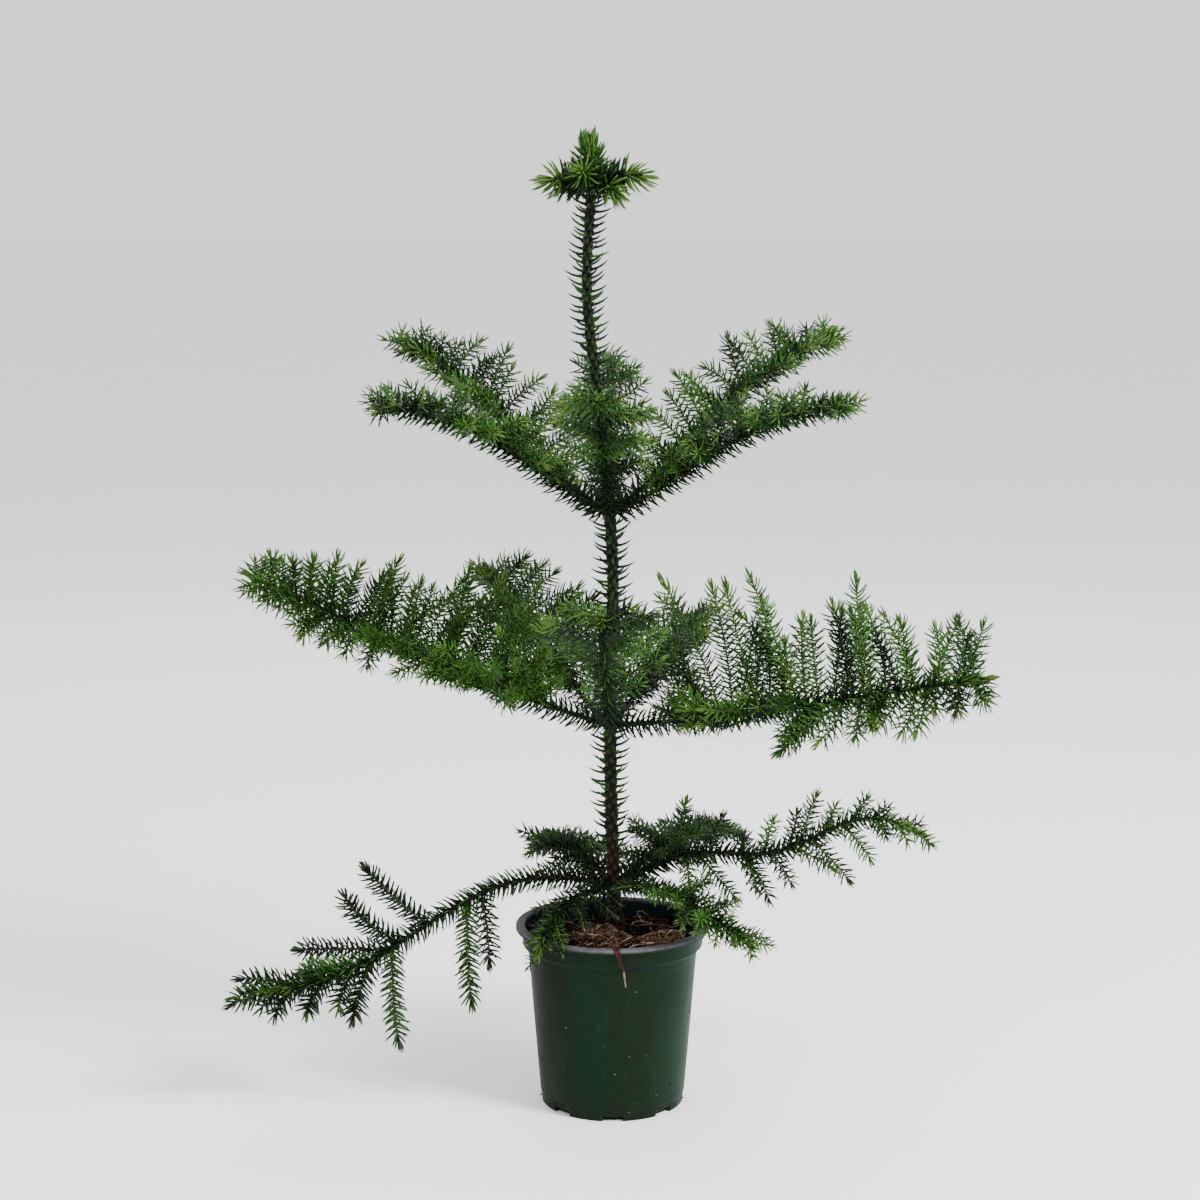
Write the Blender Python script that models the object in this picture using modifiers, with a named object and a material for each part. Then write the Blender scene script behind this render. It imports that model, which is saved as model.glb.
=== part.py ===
"""Young norfolk island pine in a round nursery pot.

Metres, +Z up. The origin is the centre of the pot's flat underside, +X is the plant's right
side and -Y is its front. The trunk carries three whorls of flat boughs and a whorl of short
new shoots under the leader. Each bough is a short bare limb, and the foliage that it carries is
one solid: a stem with a row of twigs on each side, every twig a toothed blade of needles.
"""

import math
import random
from dataclasses import dataclass, replace

import bmesh
import bpy
import numpy as np
from mathutils import Matrix, Vector
from mathutils.bvhtree import BVHTree

MODEL_NAME = "norfolk_island_pine"
SEED = 11
CLEARANCE = 0.0003
WELD = 0.000001
SHORTEST_EDGE = 0.00002
FLATNESS = math.radians(0.6)

# Pot: turned, with a collar under a rolled lip and drain notches round the foot
POT_HEIGHT = 0.155
POT_SIDES = 32
BASE_RADIUS = 0.0610
BODY_TOP_RADIUS = 0.0722
COLLAR_RADIUS = 0.0770
LIP_RADIUS = 0.0825
LIP_THICKNESS = 0.0042
COLLAR_HEIGHT = 0.0170
STEP_HEIGHT = 0.0030
WALL = 0.0020
FLOOR = 0.0025
EDGE = 0.0008
NOTCH_COUNT = 8
NOTCH_WIDTH = 0.0170
NOTCH_HEIGHT = 0.0045
NOTCH_DEPTH = 0.0080

# Potting mix: fills the pot, crowned to a level seat under the trunk
SOIL_SIDES = 24
SOIL_EDGE_Z = 0.1400
SOIL_CROWN_Z = 0.1490
SOIL_SEAT_RADIUS = 0.0110
SOIL_ROUGHNESS = 0.0016

# Trunk: a leaning, slightly waving centre line, as height and offset to the right
TRUNK_LINE = ((0.149, 0.0024), (0.250, -0.0011), (0.330, -0.0022), (0.475, -0.0007),
              (0.600, -0.0122), (0.690, -0.0214), (0.780, -0.0183), (0.823, -0.0197))
TRUNK_TIP_Z = 0.7960
TRUNK_FOOT_RADIUS = 0.0052
TRUNK_TOP_RADIUS = 0.0034
TRUNK_TIP_RADIUS = 0.0022
ROOT_FLARE = 0.0030
FLARE_HEIGHT = 0.0120
COLLAR_SWELL = 0.0012
COLLAR_SPREAD = 0.0070
TRUNK_RINGS = 24

# Needles that stand on the trunk between the whorls
TRUNK_NEEDLE_COUNT = 52
TRUNK_NEEDLE_LENGTH = 0.0140
TRUNK_NEEDLE_RADIUS = 0.0011
TRUNK_NEEDLE_RISE = 38.0
TRUNK_NEEDLE_FOOT_Z = 0.205
WHORL_MARGIN = 0.010
GOLDEN_ANGLE = 137.508

# Whorl heights
LOWER_Z = 0.190
MIDDLE_Z = 0.328
UPPER_Z = 0.508
TOP_Z = 0.779
WHORL_HEIGHTS = (LOWER_Z, MIDDLE_Z, UPPER_Z, TOP_Z)

# Boughs and the stems that go on from them
BOUGH_LENGTH = 0.038
BOUGH_ROOT_RADIUS = 0.0022
BOUGH_TIP_RADIUS = 0.0018
ROOT_STUB = 0.0020
STEM_TIP_RADIUS = 0.0008
STEM_POINTS = 9
PATH_SAMPLES = 65
HANDLE_SHARE = 0.38
SHOOT_RADIUS = 0.0016
SHOOT_POINTS = 4

# Twigs: toothed blades, larger than life and fewer than on the plant
TWIG_SHARE = 0.46
LAST_TWIG = 0.92
TIP_FULLNESS = 0.3
ROOT_FULLNESS = 0.7
ROLL_STEP = 38.0
ROLL_SCATTER = 10.0
TOOTH_SPACING = 0.0190
TOOTH_REACH = 0.0138
TOOTH_SLANT = 0.0150
STALK_HALF_WIDTH = 0.0016
CORE_HALF_WIDTH = 0.0036
BLADE_THICKNESS = 0.0010
ROOT_SINK = 0.0012
TIP_SPRAY_LENGTH = 0.034
TIP_SPRAY_ROLL = 20.0
LEADER_BLADES = ((0.25, 1.0), (0.15, 0.9))
SHORTEST_TWIG = 0.018
SHORTENING = (1.0, 0.82, 0.66, 0.5)
ANGLE_SCATTER = 8.0
SIDE_GAP = 0.006

# Colours as linear RGB, with roughness
POT_GREEN = ((0.018, 0.048, 0.028), 0.45)
SOIL_BROWN = ((0.030, 0.018, 0.011), 0.95)
BARK_GREEN = ((0.050, 0.058, 0.024), 0.80)
BOUGH_GREEN = ((0.040, 0.062, 0.022), 0.75)
OLD_NEEDLES = ((0.022, 0.068, 0.022), 0.60)
NEW_NEEDLES = ((0.055, 0.150, 0.030), 0.55)


@dataclass(frozen=True)
class Branch:
    """One bough with its foliage: where its stem runs and how its two rows of twigs stand.

    Angles are in degrees. Azimuth is 0 at +X and 90 at the back. A pair gives the value near
    the trunk and the value near the tip. Left and right are seen from the trunk, looking out.
    A lift is the twig row's angle above the stem's side, and splay is the angle that a twig
    makes with the stem.
    """

    name: str
    azimuth: float
    height: float
    reach: float
    rise: float
    root_slope: float
    tip_slope: float
    twigs: int = 8
    left_length: float = 0.052
    right_length: float = 0.052
    left_lift: tuple = (40.0, 15.0)
    right_lift: tuple = (40.0, 15.0)
    splay: tuple = (96.0, 46.0)
    first_twig: float = 0.17
    curl: float = 5.0
    wave: float = 0.0
    wave_turns: float = 1.0


def middle_whorl():
    base = Branch("middle", 0.0, MIDDLE_Z, 0.28, 0.09, 12.0, 14.0, twigs=11, splay=(106.0, 56.0))
    return [
        replace(base, name="middle_right", azimuth=-24.0, reach=0.337, rise=0.067, root_slope=7.0,
                tip_slope=12.0, twigs=13, left_length=0.106, right_length=0.074,
                left_lift=(56.0, 66.0), right_lift=(52.0, -56.0)),
        replace(base, name="middle_back_right", azimuth=70.0, reach=0.240, rise=0.058, twigs=9,
                left_length=0.066, right_length=0.060),
        replace(base, name="middle_back", azimuth=114.0, reach=0.280, rise=0.092,
                left_length=0.072, right_length=0.072, left_lift=(50.0, 25.0),
                right_lift=(50.0, 25.0)),
        replace(base, name="middle_left", azimuth=160.0, reach=0.352, rise=0.115, tip_slope=20.0,
                twigs=13, left_length=0.070, right_length=0.086, left_lift=(46.0, -48.0),
                right_lift=(60.0, 66.0)),
        replace(base, name="middle_front", azimuth=-92.0, reach=0.222, rise=0.136,
                root_slope=30.0, tip_slope=30.0, twigs=9, left_length=0.064, right_length=0.064,
                left_lift=(40.0, 15.0), right_lift=(40.0, 15.0)),
    ]


def upper_whorl():
    base = Branch("upper", 0.0, UPPER_Z, 0.22, 0.12, 30.0, 10.0)
    return [
        replace(base, name="upper_right", azimuth=-28.0, reach=0.221, rise=0.094,
                root_slope=26.0, tip_slope=0.0, left_lift=(42.0, 14.0), right_lift=(35.0, 0.0)),
        replace(base, name="upper_back_right", azimuth=32.0, reach=0.237, rise=0.146,
                root_slope=33.0, tip_slope=16.0, left_lift=(54.0, 16.0), right_lift=(35.0, -12.0)),
        replace(base, name="upper_back", azimuth=90.0, reach=0.205, rise=0.120, root_slope=34.0,
                tip_slope=14.0),
        replace(base, name="upper_back_left", azimuth=148.0, reach=0.224, rise=0.138,
                root_slope=28.0, tip_slope=14.0, left_lift=(35.0, -12.0), right_lift=(54.0, 16.0)),
        replace(base, name="upper_left", azimuth=-152.0, reach=0.215, rise=0.095,
                root_slope=30.0, tip_slope=2.0, left_lift=(35.0, 0.0), right_lift=(42.0, 14.0)),
        replace(base, name="upper_front", azimuth=-93.0, reach=0.200, rise=0.112,
                root_slope=34.0, tip_slope=14.0),
    ]


def lower_whorl():
    base = Branch("lower", 0.0, LOWER_Z, 0.15, 0.0, 14.0, -22.0, twigs=7, left_length=0.046,
                  right_length=0.046, left_lift=(10.0, 0.0), right_lift=(10.0, 0.0),
                  splay=(86.0, 44.0), curl=-14.0, first_twig=0.22)
    return [
        replace(base, name="lower_left", azimuth=-170.0, reach=0.308, rise=-0.080,
                root_slope=4.0, tip_slope=-12.0, wave=0.010, twigs=6, left_length=0.082,
                right_length=0.096, left_lift=(-84.0, -20.0), right_lift=(-78.0, 62.0),
                splay=(80.0, 44.0), first_twig=0.34),
        replace(base, name="lower_right", azimuth=8.0, reach=0.276, rise=0.028, root_slope=10.0,
                tip_slope=-18.0, wave=0.010, wave_turns=1.5, twigs=8, left_length=0.052,
                right_length=0.058, left_lift=(62.0, 24.0), right_lift=(-60.0, -24.0), curl=-8.0),
        replace(base, name="lower_back_right", azimuth=55.0, reach=0.186, rise=0.008,
                left_length=0.052, right_length=0.052),
        replace(base, name="lower_back_left", azimuth=118.0, reach=0.145, rise=0.004),
        replace(base, name="lower_front_left", azimuth=-129.0, height=LOWER_Z - 0.003, reach=0.102,
                rise=-0.042, root_slope=12.0, tip_slope=-74.0, twigs=4, left_length=0.036,
                right_length=0.036),
        replace(base, name="lower_front_right", azimuth=-40.0, reach=0.152, rise=-0.030,
                root_slope=12.0),
    ]


def top_whorl():
    base = Branch("top", 0.0, TOP_Z, 0.045, 0.0, 10.0, -40.0, twigs=0)
    return [
        replace(base, name="top_right", azimuth=0.0, reach=0.052, rise=-0.003, root_slope=14.0),
        replace(base, name="top_back", azimuth=88.0, rise=0.004, tip_slope=-30.0),
        replace(base, name="top_back_left", azimuth=146.0, reach=0.040, rise=-0.012),
        replace(base, name="top_left", azimuth=-172.0, rise=-0.007, tip_slope=-50.0),
        replace(base, name="top_front", azimuth=-104.0, rise=0.006, root_slope=20.0,
                tip_slope=-20.0),
        replace(base, name="top_front_right", azimuth=-46.0, reach=0.036, rise=-0.020,
                root_slope=-8.0, tip_slope=-66.0),
    ]


# Growth rule

def unit(vector):
    return vector / np.linalg.norm(vector)


def trunk_centre(height):
    """Point of the trunk's centre line: a cubic through TRUNK_LINE with mean slopes."""
    heights, offsets = np.array(TRUNK_LINE).T
    slopes = np.gradient(offsets, heights)
    i = int(np.clip(np.searchsorted(heights, height) - 1, 0, len(heights) - 2))
    span = heights[i + 1] - heights[i]
    s = (height - heights[i]) / span
    x = ((2 * s**3 - 3 * s**2 + 1) * offsets[i] + (s**3 - 2 * s**2 + s) * span * slopes[i]
         + (3 * s**2 - 2 * s**3) * offsets[i + 1] + (s**3 - s**2) * span * slopes[i + 1])
    return np.array([x, 0.0, height])


def trunk_radius(height):
    """Taper from foot to top, a flare at the soil, a swelling at each whorl, a pointed tip."""
    along = (height - SOIL_CROWN_Z) / (TRUNK_TIP_Z - SOIL_CROWN_Z)
    radius = TRUNK_FOOT_RADIUS + (TRUNK_TOP_RADIUS - TRUNK_FOOT_RADIUS) * along
    radius += ROOT_FLARE * math.exp(-(height - SOIL_CROWN_Z) / FLARE_HEIGHT)
    for whorl_height in WHORL_HEIGHTS:
        radius += COLLAR_SWELL * math.exp(-((height - whorl_height) / COLLAR_SPREAD) ** 2)
    return min(radius, TRUNK_TIP_RADIUS + 0.25 * (TRUNK_TIP_Z - height))


def stem_path(branch):
    """Centre line of a branch from the trunk's surface to its tip, evenly sampled.

    It is a cubic in the upright plane through the trunk, with the slopes given at both ends,
    plus a wave in height that fades to nothing at both ends.
    """
    azimuth = math.radians(branch.azimuth)
    outward = np.array([math.cos(azimuth), math.sin(azimuth), 0.0])
    root = np.array([trunk_radius(branch.height) + CLEARANCE, 0.0])
    tip = np.array([branch.reach, branch.rise])
    handle = HANDLE_SHARE * np.linalg.norm(tip - root)
    root_slope, tip_slope = math.radians(branch.root_slope), math.radians(branch.tip_slope)
    near = root + handle * np.array([math.cos(root_slope), math.sin(root_slope)])
    far = tip - handle * np.array([math.cos(tip_slope), math.sin(tip_slope)])
    t = np.linspace(0.0, 1.0, 4 * PATH_SAMPLES)[:, None]
    flat = ((1 - t)**3 * root + 3 * (1 - t)**2 * t * near + 3 * (1 - t) * t**2 * far + t**3 * tip)
    flat[:, 1] += branch.wave * np.sin(2.0 * math.pi * branch.wave_turns * t[:, 0])
    points = trunk_centre(branch.height) + flat[:, :1] * outward
    points[:, 2] += flat[:, 1]
    steps = np.linalg.norm(np.diff(points, axis=0), axis=1)
    travelled = np.concatenate([[0.0], np.cumsum(steps)])
    even = np.linspace(0.0, travelled[-1], PATH_SAMPLES)
    return np.stack([np.interp(even, travelled, points[:, k]) for k in range(3)], axis=1)


def path_length(path):
    return float(np.linalg.norm(np.diff(path, axis=0), axis=1).sum())


def path_point(path, share):
    """Point and direction at a share of the path's length."""
    place = float(np.clip(share, 0.0, 1.0)) * (len(path) - 1)
    i = min(int(place), len(path) - 2)
    point = path[i] + (path[i + 1] - path[i]) * (place - i)
    return point, unit(path[min(i + 2, len(path) - 1)] - path[max(i - 1, 0)])


def on_line(shares, points, share):
    """Point at a share of a path, on the straight pieces between the given points."""
    return np.array([np.interp(share, shares, axis) for axis in np.array(points).T])


def mix(pair, share):
    return pair[0] + (pair[1] - pair[0]) * share


@dataclass(frozen=True)
class Twig:
    """One side twig: root point, direction, length, lift of its tip and roll of its blade."""

    root: np.ndarray
    direction: np.ndarray
    length: float
    droop: float
    roll: float
    share: float


def twigs_of(branch, path, count, dice):
    """Both rows of twigs of a branch, from the trunk outwards.

    Twigs are longest a third of the way out and fall to TIP_FULLNESS of that at the tip. Each
    leaves the stem at the splay angle, on a side that the row's lift turns up or down.
    """
    rows = ((1.0, branch.left_length, branch.left_lift, 0.25),
            (-1.0, branch.right_length, branch.right_lift, 0.75))
    made = []
    for side, full_length, lifts, stagger in rows:
        for k in range(count):
            share = branch.first_twig + (LAST_TWIG - branch.first_twig) * (k + stagger) / count
            root, along = path_point(path, share)
            across = unit(np.cross([0.0, 0.0, 1.0], along))
            upward = np.cross(along, across)
            length = full_length * (TIP_FULLNESS + (1.0 - TIP_FULLNESS) * (1.0 - share**2.5))
            length *= ROOT_FULLNESS + min(share, 1.0 - ROOT_FULLNESS)
            length *= dice.uniform(0.9, 1.1)
            splay = math.radians(mix(branch.splay, share) + dice.uniform(-1, 1) * ANGLE_SCATTER)
            lift = math.radians(mix(lifts, share) + dice.uniform(-1, 1) * ANGLE_SCATTER)
            outward = math.cos(lift) * side * across + math.sin(lift) * upward
            direction = math.cos(splay) * along + math.sin(splay) * outward
            droop = 0.5 * math.tan(math.radians(branch.curl))
            roll = ROLL_STEP * (k % 3 - 1) + dice.uniform(-1, 1) * ROLL_SCATTER
            made.append(Twig(root, direction, length, droop, roll, share))
    return sorted(made, key=lambda twig: twig.share)


def side_limits(branch, whorl):
    """Azimuths that bound the branch's own space: half way to its neighbours on both sides."""
    others = [other.azimuth for other in whorl if other.name != branch.name]
    left = min((other - branch.azimuth) % 360.0 for other in others)
    right = min((branch.azimuth - other) % 360.0 for other in others)
    return 0.5 * left, 0.5 * right


def inside_space(branch, twig, length, limits):
    """Whether a twig's tip stays on the branch's side of both bounds, with a small gap."""
    tip = twig.root + twig.direction * length - trunk_centre(branch.height)
    radius = math.hypot(tip[0], tip[1])
    turn = math.degrees(math.atan2(tip[1], tip[0])) - branch.azimuth
    turn = (turn + 180.0) % 360.0 - 180.0
    margin = math.degrees(SIDE_GAP / max(radius, SIDE_GAP))
    return -limits[1] + margin < turn < limits[0] - margin


# Modelling helpers

def plain_material(name, finish):
    colour, roughness = finish
    material = bpy.data.materials.new(name)
    material.use_nodes = True
    shader = material.node_tree.nodes["Principled BSDF"]
    shader.inputs["Base Color"].default_value = (*colour, 1.0)
    shader.inputs["Roughness"].default_value = roughness
    shader.inputs["Metallic"].default_value = 0.0
    return material


def add_object(name, data, collection):
    piece = bpy.data.objects.new(name, data)
    collection.objects.link(piece)
    return piece


def mesh_from_curve(name, curve, collection):
    """Turn a curve into a closed mesh object with its caps welded on."""
    shaper = add_object(name, curve, collection)
    bpy.context.view_layer.update()
    evaluated = shaper.evaluated_get(bpy.context.evaluated_depsgraph_get())
    mesh = bpy.data.meshes.new_from_object(evaluated)
    place = shaper.matrix_world.copy()
    bpy.data.objects.remove(shaper)
    bpy.data.curves.remove(curve)
    form = bmesh.new()
    form.from_mesh(mesh)
    bmesh.ops.remove_doubles(form, verts=form.verts, dist=WELD)
    bmesh.ops.recalc_face_normals(form, faces=form.faces)
    form.to_mesh(mesh)
    form.free()
    mesh.name = name
    piece = add_object(name, mesh, collection)
    piece.matrix_world = place
    return piece


def tube(name, points, radii, resolution, collection):
    """Tapering limb along points: a poly curve with round bevel and filled caps."""
    curve = bpy.data.curves.new(name, "CURVE")
    curve.dimensions = "3D"
    curve.bevel_depth = max(radii)
    curve.bevel_resolution = resolution
    curve.use_fill_caps = True
    curve.render_resolution_u = 0
    spline = curve.splines.new("POLY")
    spline.points.add(len(points) - 1)
    for spot, point, radius in zip(spline.points, points, radii):
        spot.co = (*point, 1.0)
        spot.radius = radius / curve.bevel_depth
    return mesh_from_curve(name, curve, collection)


def blade_outline(length, teeth, reach):
    """Toothed outline along +X: a notch and a forward-pointing needle tip for each tooth."""
    pitch = length / (teeth + 0.6)
    side = [(-ROOT_SINK, STALK_HALF_WIDTH)]
    for k in range(teeth):
        start = pitch * (k + 0.20)
        width = CORE_HALF_WIDTH * (1.0 - 0.4 * k / teeth) if k else STALK_HALF_WIDTH
        fullness = 0.72 + 0.28 * math.sin(math.pi * (k + 0.7) / (teeth + 0.4))
        side.append((start, width))
        side.append((min(start + TOOTH_SLANT, length), reach * fullness))
    mirrored = [(x, -y) for x, y in reversed(side)]
    return side + [(length, 0.0)] + mirrored


def blade(name, twig, length, reach, thickness, collection):
    """Spray of needles: a flat toothed outline, extruded, set on its twig and bent to its droop."""
    teeth = max(2, round(length / TOOTH_SPACING))
    curve = bpy.data.curves.new(name, "CURVE")
    curve.dimensions = "2D"
    curve.fill_mode = "BOTH"
    curve.extrude = 0.5 * thickness
    curve.render_resolution_u = 0
    outline = blade_outline(length, teeth, reach)
    spline = curve.splines.new("POLY")
    spline.use_cyclic_u = True
    spline.points.add(len(outline) - 1)
    for spot, (x, y) in zip(spline.points, outline):
        spot.co = (x, y, 0.0, 1.0)
    piece = mesh_from_curve(name, curve, collection)
    along = Vector(twig.direction)
    level = Vector((0.0, 0.0, 1.0)).cross(along)
    if level.length < 0.05:
        level = Vector((1.0, 0.0, 0.0)).cross(along)
    across = Matrix.Rotation(math.radians(twig.roll), 3, along) @ level.normalized()
    turned = Matrix((along, across, along.cross(across))).transposed().to_4x4()
    for vertex in piece.data.vertices:
        lift = twig.droop * length * max(vertex.co.x / length, 0.0) ** 2
        vertex.co = Vector(twig.root) + turned @ vertex.co + Vector((0.0, 0.0, lift))
    return piece


def bake(piece):
    """Put the piece's modifiers into its mesh."""
    bpy.context.view_layer.update()
    evaluated = piece.evaluated_get(bpy.context.evaluated_depsgraph_get())
    mesh = bpy.data.meshes.new_from_object(evaluated)
    piece.modifiers.clear()
    piece.data = mesh


def collapsible(edge):
    """Whether an edge can shrink to a point and leave the surface closed and simple."""
    first, second = edge.verts
    near = {link.other_vert(first) for link in first.link_edges}
    return len(near & {link.other_vert(second) for link in second.link_edges}) == 2


def clear_slivers(mesh):
    """Join faces that lie in one plane, shrink the shortest edges away, and cut triangles anew."""
    form = bmesh.new()
    form.from_mesh(mesh)
    bmesh.ops.dissolve_limit(form, angle_limit=FLATNESS, verts=form.verts, edges=form.edges)
    bmesh.ops.triangulate(form, faces=form.faces)
    while True:
        short = [edge for edge in form.edges
                 if edge.calc_length() < SHORTEST_EDGE and collapsible(edge)]
        if not short:
            break
        edge = min(short, key=lambda each: each.calc_length())
        middle = 0.5 * (edge.verts[0].co + edge.verts[1].co)
        bmesh.ops.pointmerge(form, verts=list(edge.verts), merge_co=middle)
    form.to_mesh(mesh)
    form.free()


def fuse(base, collection):
    """Join all in the collection to the base by one Boolean union, and clear its slivers away."""
    union = base.modifiers.new("fuse", "BOOLEAN")
    union.operation = "UNION"
    union.solver = "MANIFOLD"
    union.operand_type = "COLLECTION"
    union.collection = collection
    bake(base)
    for piece in list(collection.objects):
        bpy.data.objects.remove(piece)
    bpy.data.collections.remove(collection)
    clear_slivers(base.data)


class Neighbours:
    """The solids built so far, for keeping each new twig clear of all of them."""

    def __init__(self):
        self.trees = []

    def add(self, piece):
        bpy.context.view_layer.update()
        evaluated = piece.evaluated_get(bpy.context.evaluated_depsgraph_get())
        mesh = evaluated.to_mesh()
        points = [piece.matrix_world @ vertex.co for vertex in mesh.vertices]
        faces = [tuple(face.vertices) for face in mesh.polygons]
        corners = np.array(points)
        self.trees.append((corners.min(axis=0), corners.max(axis=0),
                           BVHTree.FromPolygons(points, faces)))
        evaluated.to_mesh_clear()

    def touch(self, piece):
        points = [vertex.co.copy() for vertex in piece.data.vertices]
        corners = np.array(points)
        low, high = corners.min(axis=0), corners.max(axis=0)
        tree = BVHTree.FromPolygons(points, [tuple(face.vertices) for face in piece.data.polygons])
        return any(tree.overlap(other) for other_low, other_high, other in self.trees
                   if (low < other_high).all() and (high > other_low).all())


# Pot and potting mix

def turned(name, profile, sides, collection, material):
    """Turn a profile, given from the axis up the inside and down the outside, round Z."""
    mesh = bpy.data.meshes.new(name)
    edges = [(k, k + 1) for k in range(len(profile) - 1)]
    mesh.from_pydata([(radius, 0.0, height) for radius, height in profile], edges, [])
    piece = add_object(name, mesh, collection)
    screw = piece.modifiers.new("turn", "SCREW")
    screw.axis = "Z"
    screw.steps = sides
    screw.render_steps = sides
    screw.use_merge_vertices = True
    screw.merge_threshold = 0.00001
    mesh.materials.append(material)
    return piece


def pot_profile():
    """Closed section of the pot: floor, inner wall, rolled lip, collar, step and body."""
    lip_foot = POT_HEIGHT - LIP_THICKNESS
    collar_foot = lip_foot - (COLLAR_HEIGHT - LIP_THICKNESS)
    body_top = collar_foot - STEP_HEIGHT
    inner_collar = COLLAR_RADIUS - WALL
    return [
        (0.0, FLOOR),
        (BASE_RADIUS - WALL, FLOOR),
        (BODY_TOP_RADIUS - WALL, body_top + 0.5 * WALL),
        (inner_collar - 0.0004, collar_foot + 0.5 * WALL),
        (inner_collar, POT_HEIGHT - EDGE),
        (inner_collar + EDGE, POT_HEIGHT),
        (LIP_RADIUS - 1.5 * EDGE, POT_HEIGHT),
        (LIP_RADIUS, POT_HEIGHT - 1.5 * EDGE),
        (LIP_RADIUS, lip_foot + EDGE),
        (LIP_RADIUS - EDGE, lip_foot),
        (COLLAR_RADIUS, lip_foot),
        (COLLAR_RADIUS - 0.0003, collar_foot),
        (BODY_TOP_RADIUS, body_top),
        (BASE_RADIUS, EDGE),
        (BASE_RADIUS - EDGE, 0.0),
        (0.0, 0.0),
    ]


def build_pot(parts, cutters, material):
    """The pot, with a drain notch cut through the foot of the wall at even steps."""
    pot = turned("pot", pot_profile(), POT_SIDES, parts, material)
    for k in range(NOTCH_COUNT):
        turn = 2.0 * math.pi * k / NOTCH_COUNT - 0.5 * math.pi
        reach = BASE_RADIUS - 0.3 * NOTCH_DEPTH
        bpy.ops.mesh.primitive_cube_add(size=1.0)
        cutter = bpy.context.active_object
        cutter.name = f"notch_{k}"
        cutter.data.transform(Matrix.Diagonal((NOTCH_DEPTH, NOTCH_WIDTH, 2.0 * NOTCH_HEIGHT, 1.0)))
        cutter.location = (reach * math.cos(turn), reach * math.sin(turn), 0.0)
        cutter.rotation_euler = (0.0, 0.0, turn)
        cutter.hide_render = True
        cutter.display_type = "WIRE"
        for owner in list(cutter.users_collection):
            owner.objects.unlink(cutter)
        cutters.objects.link(cutter)
    cut = pot.modifiers.new("drain_notches", "BOOLEAN")
    cut.operation = "DIFFERENCE"
    cut.solver = "EXACT"
    cut.operand_type = "COLLECTION"
    cut.collection = cutters
    bake(pot)
    return pot


def build_soil(parts, material):
    """Potting mix that fills the pot, with a rough crowned top that is level at the trunk."""
    low_radius = BASE_RADIUS - WALL - CLEARANCE
    wall_slope = (BODY_TOP_RADIUS - BASE_RADIUS) / (POT_HEIGHT - COLLAR_HEIGHT - STEP_HEIGHT)
    neck_z = POT_HEIGHT - COLLAR_HEIGHT - STEP_HEIGHT - 0.001
    neck_radius = low_radius + wall_slope * (neck_z - FLOOR)
    seat = trunk_centre(SOIL_CROWN_Z)[0] + SOIL_SEAT_RADIUS
    rings = 5
    top = []
    for k in range(rings):
        share = k / (rings - 1)
        radius = seat + (neck_radius - seat) * share
        top.append((radius, SOIL_CROWN_Z + (SOIL_EDGE_Z - SOIL_CROWN_Z) * share ** 0.8))
    profile = [(0.0, SOIL_CROWN_Z)] + top + [
        (neck_radius, neck_z),
        (low_radius, FLOOR + CLEARANCE),
        (0.0, FLOOR + CLEARANCE),
    ]
    soil = turned("soil", profile, SOIL_SIDES, parts, material)
    bake(soil)
    dice = random.Random(SEED)
    for vertex in soil.data.vertices:
        radius = math.hypot(vertex.co.x, vertex.co.y)
        on_top = vertex.co.z > neck_z + 0.001
        if on_top and seat + 0.001 < radius:
            vertex.co.z += dice.uniform(-1.0, 1.0) * SOIL_ROUGHNESS
    return soil


# Trunk, boughs and foliage

def build_trunk(parts, material):
    """One limb from the level cut at the soil to its tip, with needles fused on."""
    foot = SOIL_CROWN_Z + CLEARANCE
    collars = [whorl + COLLAR_SPREAD * k for whorl in WHORL_HEIGHTS for k in (-1, 0, 1)]
    between = [height for height in np.linspace(foot + 0.006, TRUNK_TIP_Z, TRUNK_RINGS)
               if min(abs(height - collar) for collar in collars) > 0.5 * COLLAR_SPREAD]
    heights = [foot, foot + 0.002] + sorted(collars + between)
    points = [trunk_centre(height) for height in heights]
    points[0][0] = points[1][0]
    trunk = tube("trunk", points, [trunk_radius(height) for height in heights], 3, parts)
    needles = bpy.data.collections.new("trunk_needles")
    bpy.context.scene.collection.children.link(needles)
    heights = np.linspace(TRUNK_NEEDLE_FOOT_Z, TOP_Z - WHORL_MARGIN, TRUNK_NEEDLE_COUNT)
    for k, height in enumerate(heights):
        if min(abs(height - whorl) for whorl in WHORL_HEIGHTS) < WHORL_MARGIN:
            continue
        turn, rise = math.radians(GOLDEN_ANGLE * k), math.radians(TRUNK_NEEDLE_RISE)
        outward = Vector((math.cos(turn), math.sin(turn), 0.0))
        direction = outward * math.cos(rise) + Vector((0.0, 0.0, math.sin(rise)))
        form = bmesh.new()
        bmesh.ops.create_cone(form, cap_ends=True, segments=3, radius1=TRUNK_NEEDLE_RADIUS,
                              radius2=0.0, depth=TRUNK_NEEDLE_LENGTH + trunk_radius(height))
        mesh = bpy.data.meshes.new("trunk_needle")
        form.to_mesh(mesh)
        form.free()
        middle = 0.5 * (TRUNK_NEEDLE_LENGTH + trunk_radius(height)) + 0.3 * trunk_radius(height)
        place = Matrix.Translation(Vector(trunk_centre(height)) + direction * middle)
        mesh.transform(place @ direction.to_track_quat("Z", "Y").to_matrix().to_4x4())
        add_object(f"trunk_needle_{k}", mesh, needles)
    fuse(trunk, needles)
    trunk.data.materials.clear()
    trunk.data.materials.append(material)
    return trunk


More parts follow.
